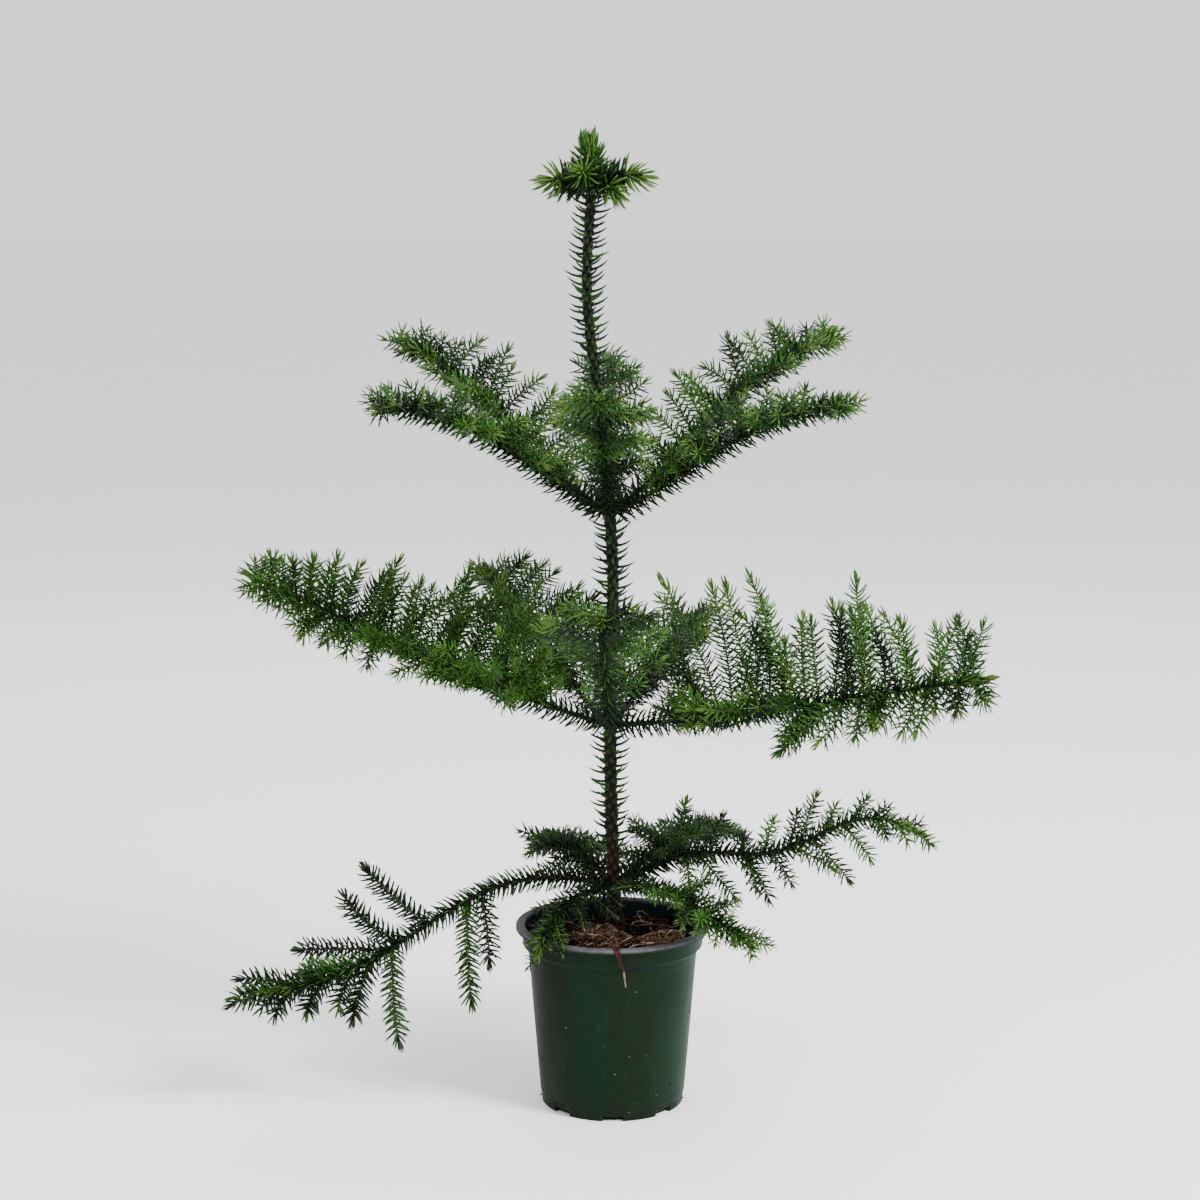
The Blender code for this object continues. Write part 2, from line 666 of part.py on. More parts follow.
def build_bough(branch, path, parts, material):
    """The bare limb between the trunk and the foliage; its root starts level and square."""
    length = path_length(path)
    end = (BOUGH_LENGTH - CLEARANCE) / length
    shares = [0.0] + list(np.linspace(2.0 * ROOT_STUB / length, end, 3))
    points = [path_point(path, share)[0] for share in shares]
    outward = unit((points[1] - points[0]) * np.array([1.0, 1.0, 0.0]))
    points.insert(1, points[0] + ROOT_STUB * outward)
    radii = list(np.linspace(BOUGH_ROOT_RADIUS, BOUGH_TIP_RADIUS, len(points)))
    bough = tube(f"{branch.name}_bough", points, radii, 0, parts)
    bough.data.materials.append(material)
    return bough


def tip_spray(path):
    """The blade along the last stretch of a stem, out to its very tip."""
    length = path_length(path)
    stretch = min(TIP_SPRAY_LENGTH, 0.7 * length)
    root, _ = path_point(path, 1.0 - stretch / length)
    chord = path[-1] - root
    return Twig(root, unit(chord), float(np.linalg.norm(chord)), 0.0, TIP_SPRAY_ROLL, 1.0)


def build_foliage(branch, whorl, path, start, root_radius, parts, neighbours, material):
    """One mass: a tapering stem with its twigs and tip sprays fused on.

    A twig that would leave the branch's space or touch another solid is made shorter, and it
    is left out where even a short one would.
    """
    name = branch.name + ("_foliage" if branch.twigs else "_shoot")
    dice = random.Random(f"{SEED} {branch.name}")
    length = path_length(path)
    last = tip_spray(path)
    end = 1.0 - (last.length - 3.0 * ROOT_SINK) / length
    shares = np.linspace(start / length, end, STEM_POINTS if branch.twigs else SHOOT_POINTS)
    points = [path_point(path, share)[0] for share in shares]
    radii = np.linspace(root_radius, STEM_TIP_RADIUS, len(points))
    stem = tube(name, points, list(radii), 0, parts)
    blades = bpy.data.collections.new(f"{name}_blades")
    bpy.context.scene.collection.children.link(blades)
    limits = side_limits(branch, whorl)
    count = round(branch.twigs * TWIG_SHARE)
    for k, twig in enumerate(twigs_of(branch, path, count, dice)):
        twig = replace(twig, root=on_line(shares, points, twig.share))
        for share in SHORTENING:
            trial_length = twig.length * share
            if trial_length < SHORTEST_TWIG:
                break
            if not inside_space(branch, twig, trial_length, limits):
                continue
            trial = blade("trial", twig, trial_length + CLEARANCE, TOOTH_REACH + CLEARANCE,
                          BLADE_THICKNESS + 3.0 * CLEARANCE, blades)
            clear = not neighbours.touch(trial)
            bpy.data.objects.remove(trial)
            if clear:
                blade(f"blade_{k}", twig, trial_length, TOOTH_REACH, BLADE_THICKNESS, blades)
                break
    blade("tip_blade", last, last.length, TOOTH_REACH, BLADE_THICKNESS, blades)
    fuse(stem, blades)
    stem.data.materials.clear()
    stem.data.materials.append(material)
    neighbours.add(stem)
    return stem


def build_leader(parts, neighbours, material):
    """The growing tip over the trunk: a short stem in a cross of upright needle blades."""
    foot = trunk_centre(TRUNK_TIP_Z + CLEARANCE)
    tip = trunk_centre(TRUNK_LINE[-1][0])
    stem = tube("leader_tip", [foot, tip - (tip - foot) * 0.2], [TRUNK_TIP_RADIUS, 0.001], 1, parts)
    blades = bpy.data.collections.new("leader_blades")
    bpy.context.scene.collection.children.link(blades)
    for k, (start, end) in enumerate(LEADER_BLADES):
        root = foot + (tip - foot) * start
        chord = foot + (tip - foot) * end - root
        twig = Twig(root, unit(chord), float(np.linalg.norm(chord)), 0.0, 80.0 * k, 1.0)
        blade(f"leader_{k}", twig, twig.length, 0.7 * TOOTH_REACH, BLADE_THICKNESS, blades)
    fuse(stem, blades)
    stem.data.materials.clear()
    stem.data.materials.append(material)
    neighbours.add(stem)


def build():
    for thing in list(bpy.data.objects):
        bpy.data.objects.remove(thing)
    parts = bpy.data.collections.new(MODEL_NAME)
    cutters = bpy.data.collections.new("cutters")
    bpy.context.scene.collection.children.link(parts)
    bpy.context.scene.collection.children.link(cutters)
    bark = plain_material("bark", BARK_GREEN)
    bough_bark = plain_material("bough_bark", BOUGH_GREEN)
    old_needles = plain_material("old_needles", OLD_NEEDLES)
    new_needles = plain_material("new_needles", NEW_NEEDLES)

    neighbours = Neighbours()
    neighbours.add(build_pot(parts, cutters, plain_material("pot_plastic", POT_GREEN)))
    neighbours.add(build_soil(parts, plain_material("potting_mix", SOIL_BROWN)))
    neighbours.add(build_trunk(parts, bark))
    whorls = [lower_whorl(), middle_whorl(), upper_whorl()]
    paths = {branch.name: stem_path(branch) for whorl in whorls for branch in whorl}
    for whorl in whorls:
        for branch in whorl:
            neighbours.add(build_bough(branch, paths[branch.name], parts, bough_bark))
    for whorl in whorls:
        for branch in whorl:
            build_foliage(branch, whorl, paths[branch.name], BOUGH_LENGTH, BOUGH_TIP_RADIUS,
                          parts, neighbours, old_needles)
    build_leader(parts, neighbours, new_needles)
    for branch in top_whorl():
        build_foliage(branch, top_whorl(), stem_path(branch), CLEARANCE, SHOOT_RADIUS,
                      parts, neighbours, new_needles)


build()
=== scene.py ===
"""Looks of a young norfolk island pine in a round nursery pot.

Metres, +Z up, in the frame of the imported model: the origin is the centre of the pot's flat
underside, +X is the plant's right side and -Y is its front. The plant grows by the same rule as
its solids, carried on to every twig and needle. Needles, twigs and boughs are joined, each kind
apart, for every whorl.
"""

import logging
import math
from dataclasses import dataclass, field, replace
from enum import Enum

import bpy
import numpy as np
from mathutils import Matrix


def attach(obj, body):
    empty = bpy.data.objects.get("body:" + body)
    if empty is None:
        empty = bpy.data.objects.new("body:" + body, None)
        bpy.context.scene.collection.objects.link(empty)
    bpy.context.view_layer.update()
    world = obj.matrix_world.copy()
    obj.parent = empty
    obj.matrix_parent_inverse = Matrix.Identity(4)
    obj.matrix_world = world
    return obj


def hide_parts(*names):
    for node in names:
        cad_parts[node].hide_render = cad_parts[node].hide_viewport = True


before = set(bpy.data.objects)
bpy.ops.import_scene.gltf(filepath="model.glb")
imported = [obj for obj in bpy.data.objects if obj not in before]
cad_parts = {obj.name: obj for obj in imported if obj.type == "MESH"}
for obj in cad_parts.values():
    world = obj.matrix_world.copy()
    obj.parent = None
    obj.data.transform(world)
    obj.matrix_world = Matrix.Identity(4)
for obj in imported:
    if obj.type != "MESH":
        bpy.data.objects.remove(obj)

Array = np.ndarray
Colour = tuple[float, float, float]
Place = tuple[float, float, float]
Pair = tuple[float, float]

LOG = logging.getLogger("norfolk_island_pine")
BODY = "root"
SEED = 11
UPWARD = np.array([0.0, 0.0, 1.0])
BACKWARD = np.array([0.0, 1.0, 0.0])
SKEW = np.array([0.31, 0.57, 0.76])
GOLDEN_TURN = 137.508 / 360.0
CUSHION_SPIRALS = (3, 5)
PATH_SAMPLES = 65
MIX_FIRST, MIX_SECOND, MIX_RESULT = 6, 7, 2


class Tint(Enum):
    """Needle tints, dealt out by spray: shaded is painted shade and partly the darker green of old
    needles, bright is painted light, and fresh is the yellow-green of new growth.
    """

    SHADED = "shaded"
    GREEN = "green"
    BRIGHT = "bright"
    FRESH = "fresh"


class Slot(Enum):
    """The record's material slots."""

    POT = "pot_plastic"
    SOIL = "potting_mix"
    BARK = "bark"
    GREEN_BARK = "green_bark"
    NEEDLES = "needles"
    FRESH = "fresh_needles"


# Arrays

def unit(vectors: Array) -> Array:
    """Vectors scaled to length one along their last axis."""
    return vectors / np.linalg.norm(vectors, axis=-1, keepdims=True)


def mix(pair: Pair, share: Array) -> Array:
    """Value between the first and the second of a pair."""
    return pair[0] + (pair[1] - pair[0]) * share


def smooth_step(low: float, high: float, value: Array) -> Array:
    """Cubic step from 0 at low to 1 at high: 3 s squared minus 2 s cubed."""
    s = np.clip((value - low) / (high - low), 0.0, 1.0)
    return s * s * (3.0 - 2.0 * s)


def round_steps(count: int) -> Array:
    """Angles in radians of even steps once round."""
    return 2.0 * np.pi * np.arange(count) / count


def frames(paths: Array, reference: Array) -> tuple[Array, Array]:
    """Unit sideways and upward vectors along paths.

    Sideways is the cross product of the reference with the path's direction, and upward is the
    direction crossed with sideways.

    Args:
        paths: points, shaped (paths, points, 3).
        reference: a vector that the paths never run along, shaped (3,), or one for each
            path, shaped (paths, 1, 3).

    Returns:
        Sideways and upward vectors, both shaped like the paths.
    """
    along = unit(np.gradient(paths, axis=1))
    across = unit(np.cross(np.broadcast_to(reference, along.shape), along))
    return across, np.cross(along, across)


def sweep(centres: Array, across: Array, upward: Array, start: Array, end: Array,
          sides: int) -> tuple[Array, Array]:
    """Closed tapering bodies, many at once.

    Ring k of a body is its centre k plus across times the cosine and upward times the sine of
    an angle that runs once round. Both ends close on a pole.

    Args:
        centres: ring centres, shaped (bodies, rings, 3).
        across: first half axis of every ring, of the same shape.
        upward: second half axis of every ring, of the same shape.
        start: the pole before the first ring, shaped (bodies, 3).
        end: the pole past the last ring, shaped (bodies, 3).
        sides: points on a ring.

    Returns:
        Points, shaped (n, 3), and triangles as point numbers, shaped (m, 3).
    """
    bodies, rings = centres.shape[:2]
    turn = round_steps(sides)
    cosine, sine = np.cos(turn)[:, None], np.sin(turn)[:, None]
    skin = centres[:, :, None] + across[:, :, None] * cosine + upward[:, :, None] * sine
    skin = skin.reshape(bodies, rings * sides, 3)
    points = np.concatenate([skin, start[:, None], end[:, None]], axis=1)
    return points.reshape(-1, 3), body_triangles(bodies, rings, sides)


def body_triangles(bodies: int, rings: int, sides: int) -> Array:
    """Triangles of swept bodies: two for each cell of the grid and a fan at each pole.

    Args:
        bodies: how many bodies follow one another.
        rings: rings of each.
        sides: points on a ring.

    Returns:
        Point numbers, shaped (triangles, 3).
    """
    ring, side = np.meshgrid(np.arange(rings - 1), np.arange(sides), indexing="ij")
    low = (ring * sides + side).ravel()
    low_next = (ring * sides + (side + 1) % sides).ravel()
    high, high_next = low + sides, low_next + sides
    first, last = rings * sides, rings * sides + 1
    rim = np.arange(sides)
    rim_next = (rim + 1) % sides
    top = (rings - 1) * sides
    one = np.concatenate([
        np.stack([low, low_next, high_next], axis=1),
        np.stack([low, high_next, high], axis=1),
        np.stack([np.full(sides, first), rim_next, rim], axis=1),
        np.stack([np.full(sides, last), top + rim, top + rim_next], axis=1),
    ])
    step = rings * sides + 2
    return (one[None] + step * np.arange(bodies)[:, None, None]).reshape(-1, 3)


def new_object(name: str, data: bpy.types.ID) -> bpy.types.Object:
    """An object of some data, linked to the scene."""
    made = bpy.data.objects.new(name, data)
    bpy.context.scene.collection.objects.link(made)
    return made


@dataclass
class Piece:
    """One piece of the plant, gathered from the points and triangles of its bodies."""

    name: str
    slot: Slot
    points: list[Array] = field(default_factory=list)
    triangles: list[Array] = field(default_factory=list)
    shades: list[Array] = field(default_factory=list)
    count: int = 0

    def add(self, points: Array, triangles: Array, shade: Array | None = None) -> None:
        """Add bodies to the piece.

        Args:
            points: their points.
            triangles: their triangles, numbered from the bodies' own first point.
            shade: a value for each point, kept as the attribute named relief.
        """
        self.points.append(points)
        self.triangles.append(triangles + self.count)
        self.shades.append(np.zeros(len(points)) if shade is None else shade)
        self.count += len(points)

    def finish(self, material: bpy.types.Material, *replaced: str) -> None:
        """Make the mesh, dress it, and put it in the frame.

        Args:
            material: its finish.
            replaced: the solids that it stands for.
        """
        if not self.count:
            return
        points = np.concatenate(self.points).astype(np.float32)
        triangles = np.concatenate(self.triangles).astype(np.int32)
        mesh = bpy.data.meshes.new(self.name)
        mesh.vertices.add(len(points))
        mesh.vertices.foreach_set("co", points.ravel())
        mesh.loops.add(triangles.size)
        mesh.loops.foreach_set("vertex_index", triangles.ravel())
        mesh.polygons.add(len(triangles))
        mesh.polygons.foreach_set("loop_start", np.arange(0, triangles.size, 3, dtype=np.int32))
        mesh.update(calc_edges=True)
        mesh.shade_smooth()
        relief = mesh.attributes.new("relief", "FLOAT", "POINT")
        relief.data.foreach_set("value", np.concatenate(self.shades).astype(np.float32))
        mesh.materials.append(material)
        piece = new_object(self.name, mesh)
        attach(piece, BODY)
        if replaced:
            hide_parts(*replaced)
        LOG.info("%s: %d triangles", self.name, len(triangles))


# Shader nodes

@dataclass
class Graph:
    """Nodes of one tree, made and joined in few words."""

    tree: bpy.types.NodeTree

    def add(self, kind: str, inputs: dict | None = None, **settings: object) -> bpy.types.Node:
        """Make a node.

        Args:
            kind: the node's type name.
            inputs: values or sockets for its inputs, by name or number.
            settings: its own properties.

        Returns:
            The node.
        """
        node = self.tree.nodes.new(kind)
        for key, value in settings.items():
            setattr(node, key, value)
        for key, value in (inputs or {}).items():
            if isinstance(value, bpy.types.NodeSocket):
                self.tree.links.new(value, node.inputs[key])
            elif isinstance(value, tuple) and node.inputs[key].type == "RGBA":
                node.inputs[key].default_value = (*value, 1.0)
            else:
                node.inputs[key].default_value = value
        return node

    def link(self, value: bpy.types.NodeSocket, node: bpy.types.Node, title: str) -> None:
        """Join a value to a node's input."""
        self.tree.links.new(value, node.inputs[title])

    def math(self, operation: str, first: object, second: object = 0.0) -> bpy.types.NodeSocket:
        """Result of a Math node on two values."""
        return self.add("ShaderNodeMath", {0: first, 1: second}, operation=operation).outputs[0]

    def plus(self, first: object, second: object) -> bpy.types.NodeSocket:
        """Sum of two values."""
        return self.math("ADD", first, second)

    def times(self, first: object, second: object) -> bpy.types.NodeSocket:
        """Product of two values."""
        return self.math("MULTIPLY", first, second)

    def vector(self, operation: str, first: object, second: object = (0.0, 0.0, 0.0)
               ) -> bpy.types.Node:
        """Vector Math node on two vectors."""
        return self.add("ShaderNodeVectorMath", {0: first, 1: second}, operation=operation)

    def step(self, value: object, low: float, high: float) -> bpy.types.NodeSocket:
        """Smooth step of a value from 0 at low to 1 at high."""
        node = self.add("ShaderNodeMapRange", {"Value": value, "From Min": low, "From Max": high},
                        interpolation_type="SMOOTHSTEP")
        return node.outputs["Result"]

    def fall(self, value: object, low: float, high: float) -> bpy.types.NodeSocket:
        """Smooth step of a value from 1 at low to 0 at high."""
        return self.math("SUBTRACT", 1.0, self.step(value, low, high))

    def blend(self, share: object, first: object, second: object) -> bpy.types.NodeSocket:
        """Colour between the first, at 0, and the second, at 1."""
        node = self.add("ShaderNodeMix", {0: share, MIX_FIRST: first, MIX_SECOND: second},
                        data_type="RGBA")
        return node.outputs[MIX_RESULT]

    def noise(self, place: object, scale: float, detail: float = 2.0) -> bpy.types.NodeSocket:
        """Value of a noise texture."""
        node = self.add("ShaderNodeTexNoise", {"Vector": place, "Scale": scale, "Detail": detail})
        return node.outputs[0]

    def place(self, upright: float = 1.0) -> bpy.types.NodeSocket:
        """Object coordinates, with their height times upright: under 1 draws a pattern tall."""
        here = self.add("ShaderNodeTexCoord").outputs["Object"]
        if upright == 1.0:
            return here
        return self.add("ShaderNodeMapping",
                        {"Vector": here, "Scale": (1.0, 1.0, upright)}).outputs[0]


def new_group(name: str, inputs: dict[str, str], outputs: dict[str, str]
              ) -> tuple[Graph, bpy.types.Node, bpy.types.Node]:
    """Start a shader node group.

    Args:
        name: its name.
        inputs: socket kinds by name.
        outputs: socket kinds by name.

    Returns:
        The group's graph, its input node and its output node.
    """
    tree = bpy.data.node_groups.new(name, "ShaderNodeTree")
    for direction, sockets in (("INPUT", inputs), ("OUTPUT", outputs)):
        for title, kind in sockets.items():
            tree.interface.new_socket(title, in_out=direction, socket_type=f"NodeSocket{kind}")
    graph = Graph(tree)
    return graph, graph.add("NodeGroupInput"), graph.add("NodeGroupOutput")


@dataclass(frozen=True)
class Effects:
    """Shader groups that several finishes share."""

    drift: bpy.types.NodeTree
    specks: bpy.types.NodeTree

    @staticmethod
    def build() -> "Effects":
        """Make both groups."""
        return Effects(Effects.make_drift(), Effects.make_specks())

    def drifting(self, graph: Graph, place: object, dark: Colour, light: Colour, scale: float
                 ) -> bpy.types.Node:
        """Node of the slow change between two colours, at a place."""
        return graph.add("ShaderNodeGroup",
                         {"Vector": place, "Dark": dark, "Light": light, "Scale": scale},
                         node_tree=self.drift)

    @staticmethod
    def make_drift() -> bpy.types.NodeTree:
        """Slow change between two colours, with a finer grain laid over it.

        Returns:
            A group that puts out the colour and the grain.
        """
        graph, given, result = new_group(
            "colour_drift",
            {"Vector": "Vector", "Dark": "Color", "Light": "Color", "Scale": "Float"},
            {"Color": "Color", "Grain": "Float"})
        times_finer, broad_share, change = 7.0, 0.6, (0.36, 0.64)
        broad = graph.noise(given.outputs["Vector"], given.outputs["Scale"])
        fine = graph.noise(given.outputs["Vector"],
                           graph.times(given.outputs["Scale"], times_finer), 3.0)
        both = graph.plus(graph.times(broad, broad_share), graph.times(fine, 1.0 - broad_share))
        share = graph.step(both, *change)
        colour = graph.blend(share, given.outputs["Dark"], given.outputs["Light"])
        graph.link(colour, result, "Color")
        graph.link(fine, result, "Grain")
        return graph.tree

    @staticmethod
    def make_specks() -> bpy.types.NodeTree:
        """Small round specks: cells whose centre is near and whose random number is high.

        Returns:
            A group that puts out a mask.
        """
        graph, given, result = new_group(
            "specks",
            {"Vector": "Vector", "Scale": "Float", "Share": "Float", "Radius": "Float"},
            {"Mask": "Float"})
        cells = graph.add("ShaderNodeTexVoronoi",
                          {"Vector": given.outputs["Vector"], "Scale": given.outputs["Scale"]})
        chosen = graph.add("ShaderNodeSeparateColor", {0: cells.outputs["Color"]}).outputs[0]
        picked = graph.math("LESS_THAN", chosen, given.outputs["Share"])
        near = graph.math("LESS_THAN", cells.outputs["Distance"], given.outputs["Radius"])
        graph.link(graph.times(picked, near), result, "Mask")
        return graph.tree


def new_material(name: str, roughness: float, gloss: float
                 ) -> tuple[bpy.types.Material, Graph, bpy.types.Node]:
    """Start a material.

    Args:
        name: its name.
        roughness: the even roughness of its shader.
        gloss: the shader's specular level.

    Returns:
        The material, its graph and its Principled shader.
    """
    material = bpy.data.materials.new(name)
    material.use_nodes = True
    shader = material.node_tree.nodes["Principled BSDF"]
    shader.inputs["Roughness"].default_value = roughness
    shader.inputs["Specular IOR Level"].default_value = gloss
    return material, Graph(material.node_tree), shader


def add_bump(graph: Graph, shader: bpy.types.Node, height: object, depth: float,
             strength: float = 1.0) -> None:
    """Feed a shader's normal from a height.

    Args:
        graph: the material's graph.
        shader: its shader.
        height: a value from 0 to 1.
        depth: metres from low to high.
        strength: the bump's strength.
    """
    bump = graph.add("ShaderNodeBump", {"Height": height, "Distance": depth, "Strength": strength})
    graph.link(bump.outputs[0], shader, "Normal")


@dataclass(frozen=True)
class NeedleFinish:
    """Waxy green needles: two near greens that drift from needle to needle.

    The roughness swings with the fine grain by rough_swing in all.
    """

    name: str
    dark: Colour
    light: Colour
    roughness: float = 0.36
    rough_swing: float = 0.16
    gloss: float = 0.16
    drift_scale: float = 70.0

    def build(self, effects: Effects) -> bpy.types.Material:
        """Make the material from the shared effects."""
        material, graph, shader = new_material(self.name, self.roughness, self.gloss)
        drift = effects.drifting(graph, graph.place(), self.dark, self.light, self.drift_scale)
        graph.link(drift.outputs["Color"], shader, "Base Color")
        rough = graph.plus(graph.times(drift.outputs["Grain"], self.rough_swing),
                           self.roughness - 0.5 * self.rough_swing)
        graph.link(rough, shader, "Roughness")
        return material


@dataclass(frozen=True)
class BarkFinish:
    """Young bark: needle cushions over darker grooves, woody where it is low on the trunk.

    It turns from woody to green between two heights, and the line wavers by waver at most.
    """

    name: str
    groove: Colour
    cushion: Colour
    woody: Colour
    woody_top: float
    green_from: float
    roughness: float = 0.72
    gloss: float = 0.12
    drift_scale: float = 160.0
    drift_light: float = 1.5
    waver: float = 0.05
    waver_scale: float = 90.0
    raised: Pair = (0.05, 0.55)
    grain_scale: float = 1400.0
    grain_upright: float = 0.3
    grain_depth: float = 0.0003
    grain_strength: float = 0.6

    def build(self, effects: Effects) -> bpy.types.Material:
        """Make the material from the shared effects."""
        material, graph, shader = new_material(self.name, self.roughness, self.gloss)
        here = graph.place()
        light = tuple(self.drift_light * value for value in self.cushion)
        drift = effects.drifting(graph, here, self.cushion, light, self.drift_scale)
        height = graph.add("ShaderNodeSeparateXYZ", {0: here}).outputs[2]
        wavering = graph.times(graph.noise(here, self.waver_scale), self.waver)
        green = graph.step(graph.math("SUBTRACT", height, wavering), self.woody_top,
                           self.green_from)
        skin = graph.blend(green, self.woody, drift.outputs["Color"])
        relief = graph.add("ShaderNodeAttribute", attribute_name="relief").outputs["Fac"]
        colour = graph.blend(graph.step(relief, *self.raised), self.groove, skin)
        graph.link(colour, shader, "Base Color")
        grain = graph.noise(graph.place(self.grain_upright), self.grain_scale, 3.0)
        add_bump(graph, shader, grain, self.grain_depth, self.grain_strength)
        return material


@dataclass(frozen=True)
class PlasticFinish:
    """Moulded green plastic of the pot, used: dust on the lip, scuffs, specks, a soiled foot; with
    painted light on the plant's right side and painted shade on its left.
    """

    lip_z: float
    inner_radius: float
    inside_z: float
    roughness: float = 0.48
    gloss: float = 0.06
    green: Colour = (0.0013, 0.0135, 0.006)
    olive: Colour = (0.004, 0.0092, 0.0032)
    drift_scale: float = 16.0
    drift_upright: float = 0.35
    inside: Colour = (0.008, 0.012, 0.016)
    # painted light for the pot's right side, then painted shade for its left
    painted_light: Colour = (0.0022, 0.0225, 0.0112)
    painted_shade: Colour = (0.002, 0.0046, 0.0014)
    side_from: float = 0.018
    side_to: float = 0.08
    scuff: Colour = (0.045, 0.085, 0.06)
    scratch_scale: float = 34.0
    scratch_line: Pair = (0.0006, 0.0028)
    scratch_patches: Pair = (0.53, 0.66)
    scratch_patch_scale: float = 22.0
    scratch_strength: float = 0.34
    speck: Colour = (0.2, 0.22, 0.18)
    speck_scale: float = 340.0
    speck_share: float = 0.007
    speck_radius: float = 0.24
    speck_raggedness: float = 0.0022
    ragged_scale: float = 420.0
    speck_strength: float = 0.5
    soiled: Colour = (0.0085, 0.0085, 0.0055)
    soiled_height: float = 0.034
    splash: Pair = (0.36, 0.7)
    splash_scale: float = 75.0
    dust: Colour = (0.084, 0.078, 0.092)
    dust_depths: Pair = (0.0034, 0.0008)
    dust_patches: Pair = (0.3, 0.62)
    dust_scale: float = 160.0
    dust_least: float = 0.48
    dust_swing: float = 0.5
    smoothest: float = 0.36
    worn_roughness: float = 0.22
    dusty_roughness: float = 0.3
    grain_scale: float = 1500.0
    grain_share: float = 0.25
    ripple_scale: float = 60.0
    ripple_upright: float = 0.2
    bump_depth: float = 0.00035
    bump_strength: float = 0.5

    def body_colour(self, graph: Graph, colour: object, side: object) -> bpy.types.NodeSocket:
        """Colour with painted light towards the plant's right side, where the key lamp falls, and
        painted shade towards its left.

        Args:
            graph: the material's graph.
            colour: the plastic's own colour.
            side: distance to the right.

        Returns:
            The changed colour.
        """
        # painted light rises towards the right, painted shade towards the left
        lit_share = graph.step(side, self.side_from, self.side_to)
        shaded_share = graph.fall(side, -self.side_to, -self.side_from)
        return graph.blend(shaded_share, graph.blend(lit_share, colour, self.painted_light), self.painted_shade)

    def scratches(self, graph: Graph, here: object) -> bpy.types.NodeSocket:
        """Mask of thin scratches: the lines where a noise passes a half, in patches only."""
        field_of_lines = graph.noise(graph.place(0.5), self.scratch_scale, 4.0)
        off_line = graph.math("ABSOLUTE", graph.math("SUBTRACT", field_of_lines, 0.5))
        scratch = graph.fall(off_line, *self.scratch_line)
        patch = graph.step(graph.noise(here, self.scratch_patch_scale), *self.scratch_patches)
        return graph.times(graph.times(scratch, patch), self.scratch_strength)

    def splashed_specks(self, graph: Graph, effects: Effects, here: object
                        ) -> bpy.types.NodeSocket:
        """Mask of small specks with ragged edges."""
        shift = graph.add("ShaderNodeTexNoise",
                          {"Vector": here, "Scale": self.ragged_scale}).outputs[1]
        ragged = graph.vector("MULTIPLY", shift, (self.speck_raggedness,) * 3).outputs[0]
        moved = graph.vector("ADD", here, ragged).outputs[0]
        specks = graph.add("ShaderNodeGroup",
                           {"Vector": moved, "Scale": self.speck_scale,
                            "Share": self.speck_share, "Radius": self.speck_radius},
                           node_tree=effects.specks)
        return graph.times(specks.outputs["Mask"], self.speck_strength)

    def build(self, effects: Effects) -> bpy.types.Material:
        """Make the material from the shared effects."""
        material, graph, shader = new_material("used_pot_plastic", self.roughness, self.gloss)
        here = graph.place()
        side, back, height = graph.add("ShaderNodeSeparateXYZ", {0: here}).outputs
        flat = graph.add("ShaderNodeCombineXYZ", {0: side, 1: back}).outputs[0]
        radius = graph.vector("LENGTH", flat).outputs["Value"]
        drift = effects.drifting(graph, graph.place(self.drift_upright), self.green, self.olive,
                                 self.drift_scale)
        colour = self.body_colour(graph, drift.outputs["Color"], side)
        colour = graph.blend(self.scratches(graph, here), colour, self.scuff)
        colour = graph.blend(self.splashed_specks(graph, effects, here), colour, self.speck)

        foot = graph.fall(height, 0.0, self.soiled_height)
        splash = graph.step(graph.noise(here, self.splash_scale, 4.0), *self.splash)
        colour = graph.blend(graph.times(foot, splash), colour, self.soiled)

        inward = graph.math("LESS_THAN", radius, self.inner_radius)
        high = graph.math("GREATER_THAN", height, self.inside_z)
        colour = graph.blend(graph.times(inward, high), colour, self.inside)
        powder = graph.step(graph.noise(here, self.dust_scale, 4.0), *self.dust_patches)
        lip = graph.step(height, self.lip_z - self.dust_depths[0],
                         self.lip_z - self.dust_depths[1])
        lip = graph.times(lip, graph.plus(graph.times(powder, self.dust_swing), self.dust_least))
        graph.link(graph.blend(lip, colour, self.dust), shader, "Base Color")

        worn = graph.times(drift.outputs["Grain"], self.worn_roughness)
        dusty = graph.times(lip, self.dusty_roughness)
        graph.link(graph.plus(graph.plus(worn, dusty), self.smoothest), shader, "Roughness")
        grain = graph.times(graph.noise(here, self.grain_scale), self.grain_share)
        ripple = graph.noise(graph.place(self.ripple_upright), self.ripple_scale, 1.0)
        add_bump(graph, shader, graph.plus(grain, ripple), self.bump_depth, self.bump_strength)
        return material


@dataclass(frozen=True)
class PeatFinish:
    """Potting mix or one of its parts: a dark and a light brown, broken up, and quite matt."""

    name: str
    dark: Colour
    light: Colour
    scale: float
    bump: float = 0.0006
    bump_scale: float = 900.0
    roughness: float = 0.93
    gloss: float = 0.08

    def build(self, effects: Effects) -> bpy.types.Material:
        """Make the material from the shared effects."""
        material, graph, shader = new_material(self.name, self.roughness, self.gloss)
        here = graph.place()
        drift = effects.drifting(graph, here, self.dark, self.light, self.scale)
        graph.link(drift.outputs["Color"], shader, "Base Color")
        add_bump(graph, shader, graph.noise(here, self.bump_scale, 4.0), self.bump)
        return material


# Pot and potting mix

@dataclass(frozen=True)
class Room:
    """Space that foliage leaves free: inside, outside and above the rim, and over the mix."""

    inside: float
    outside: float
    above: float
    mix_z: float


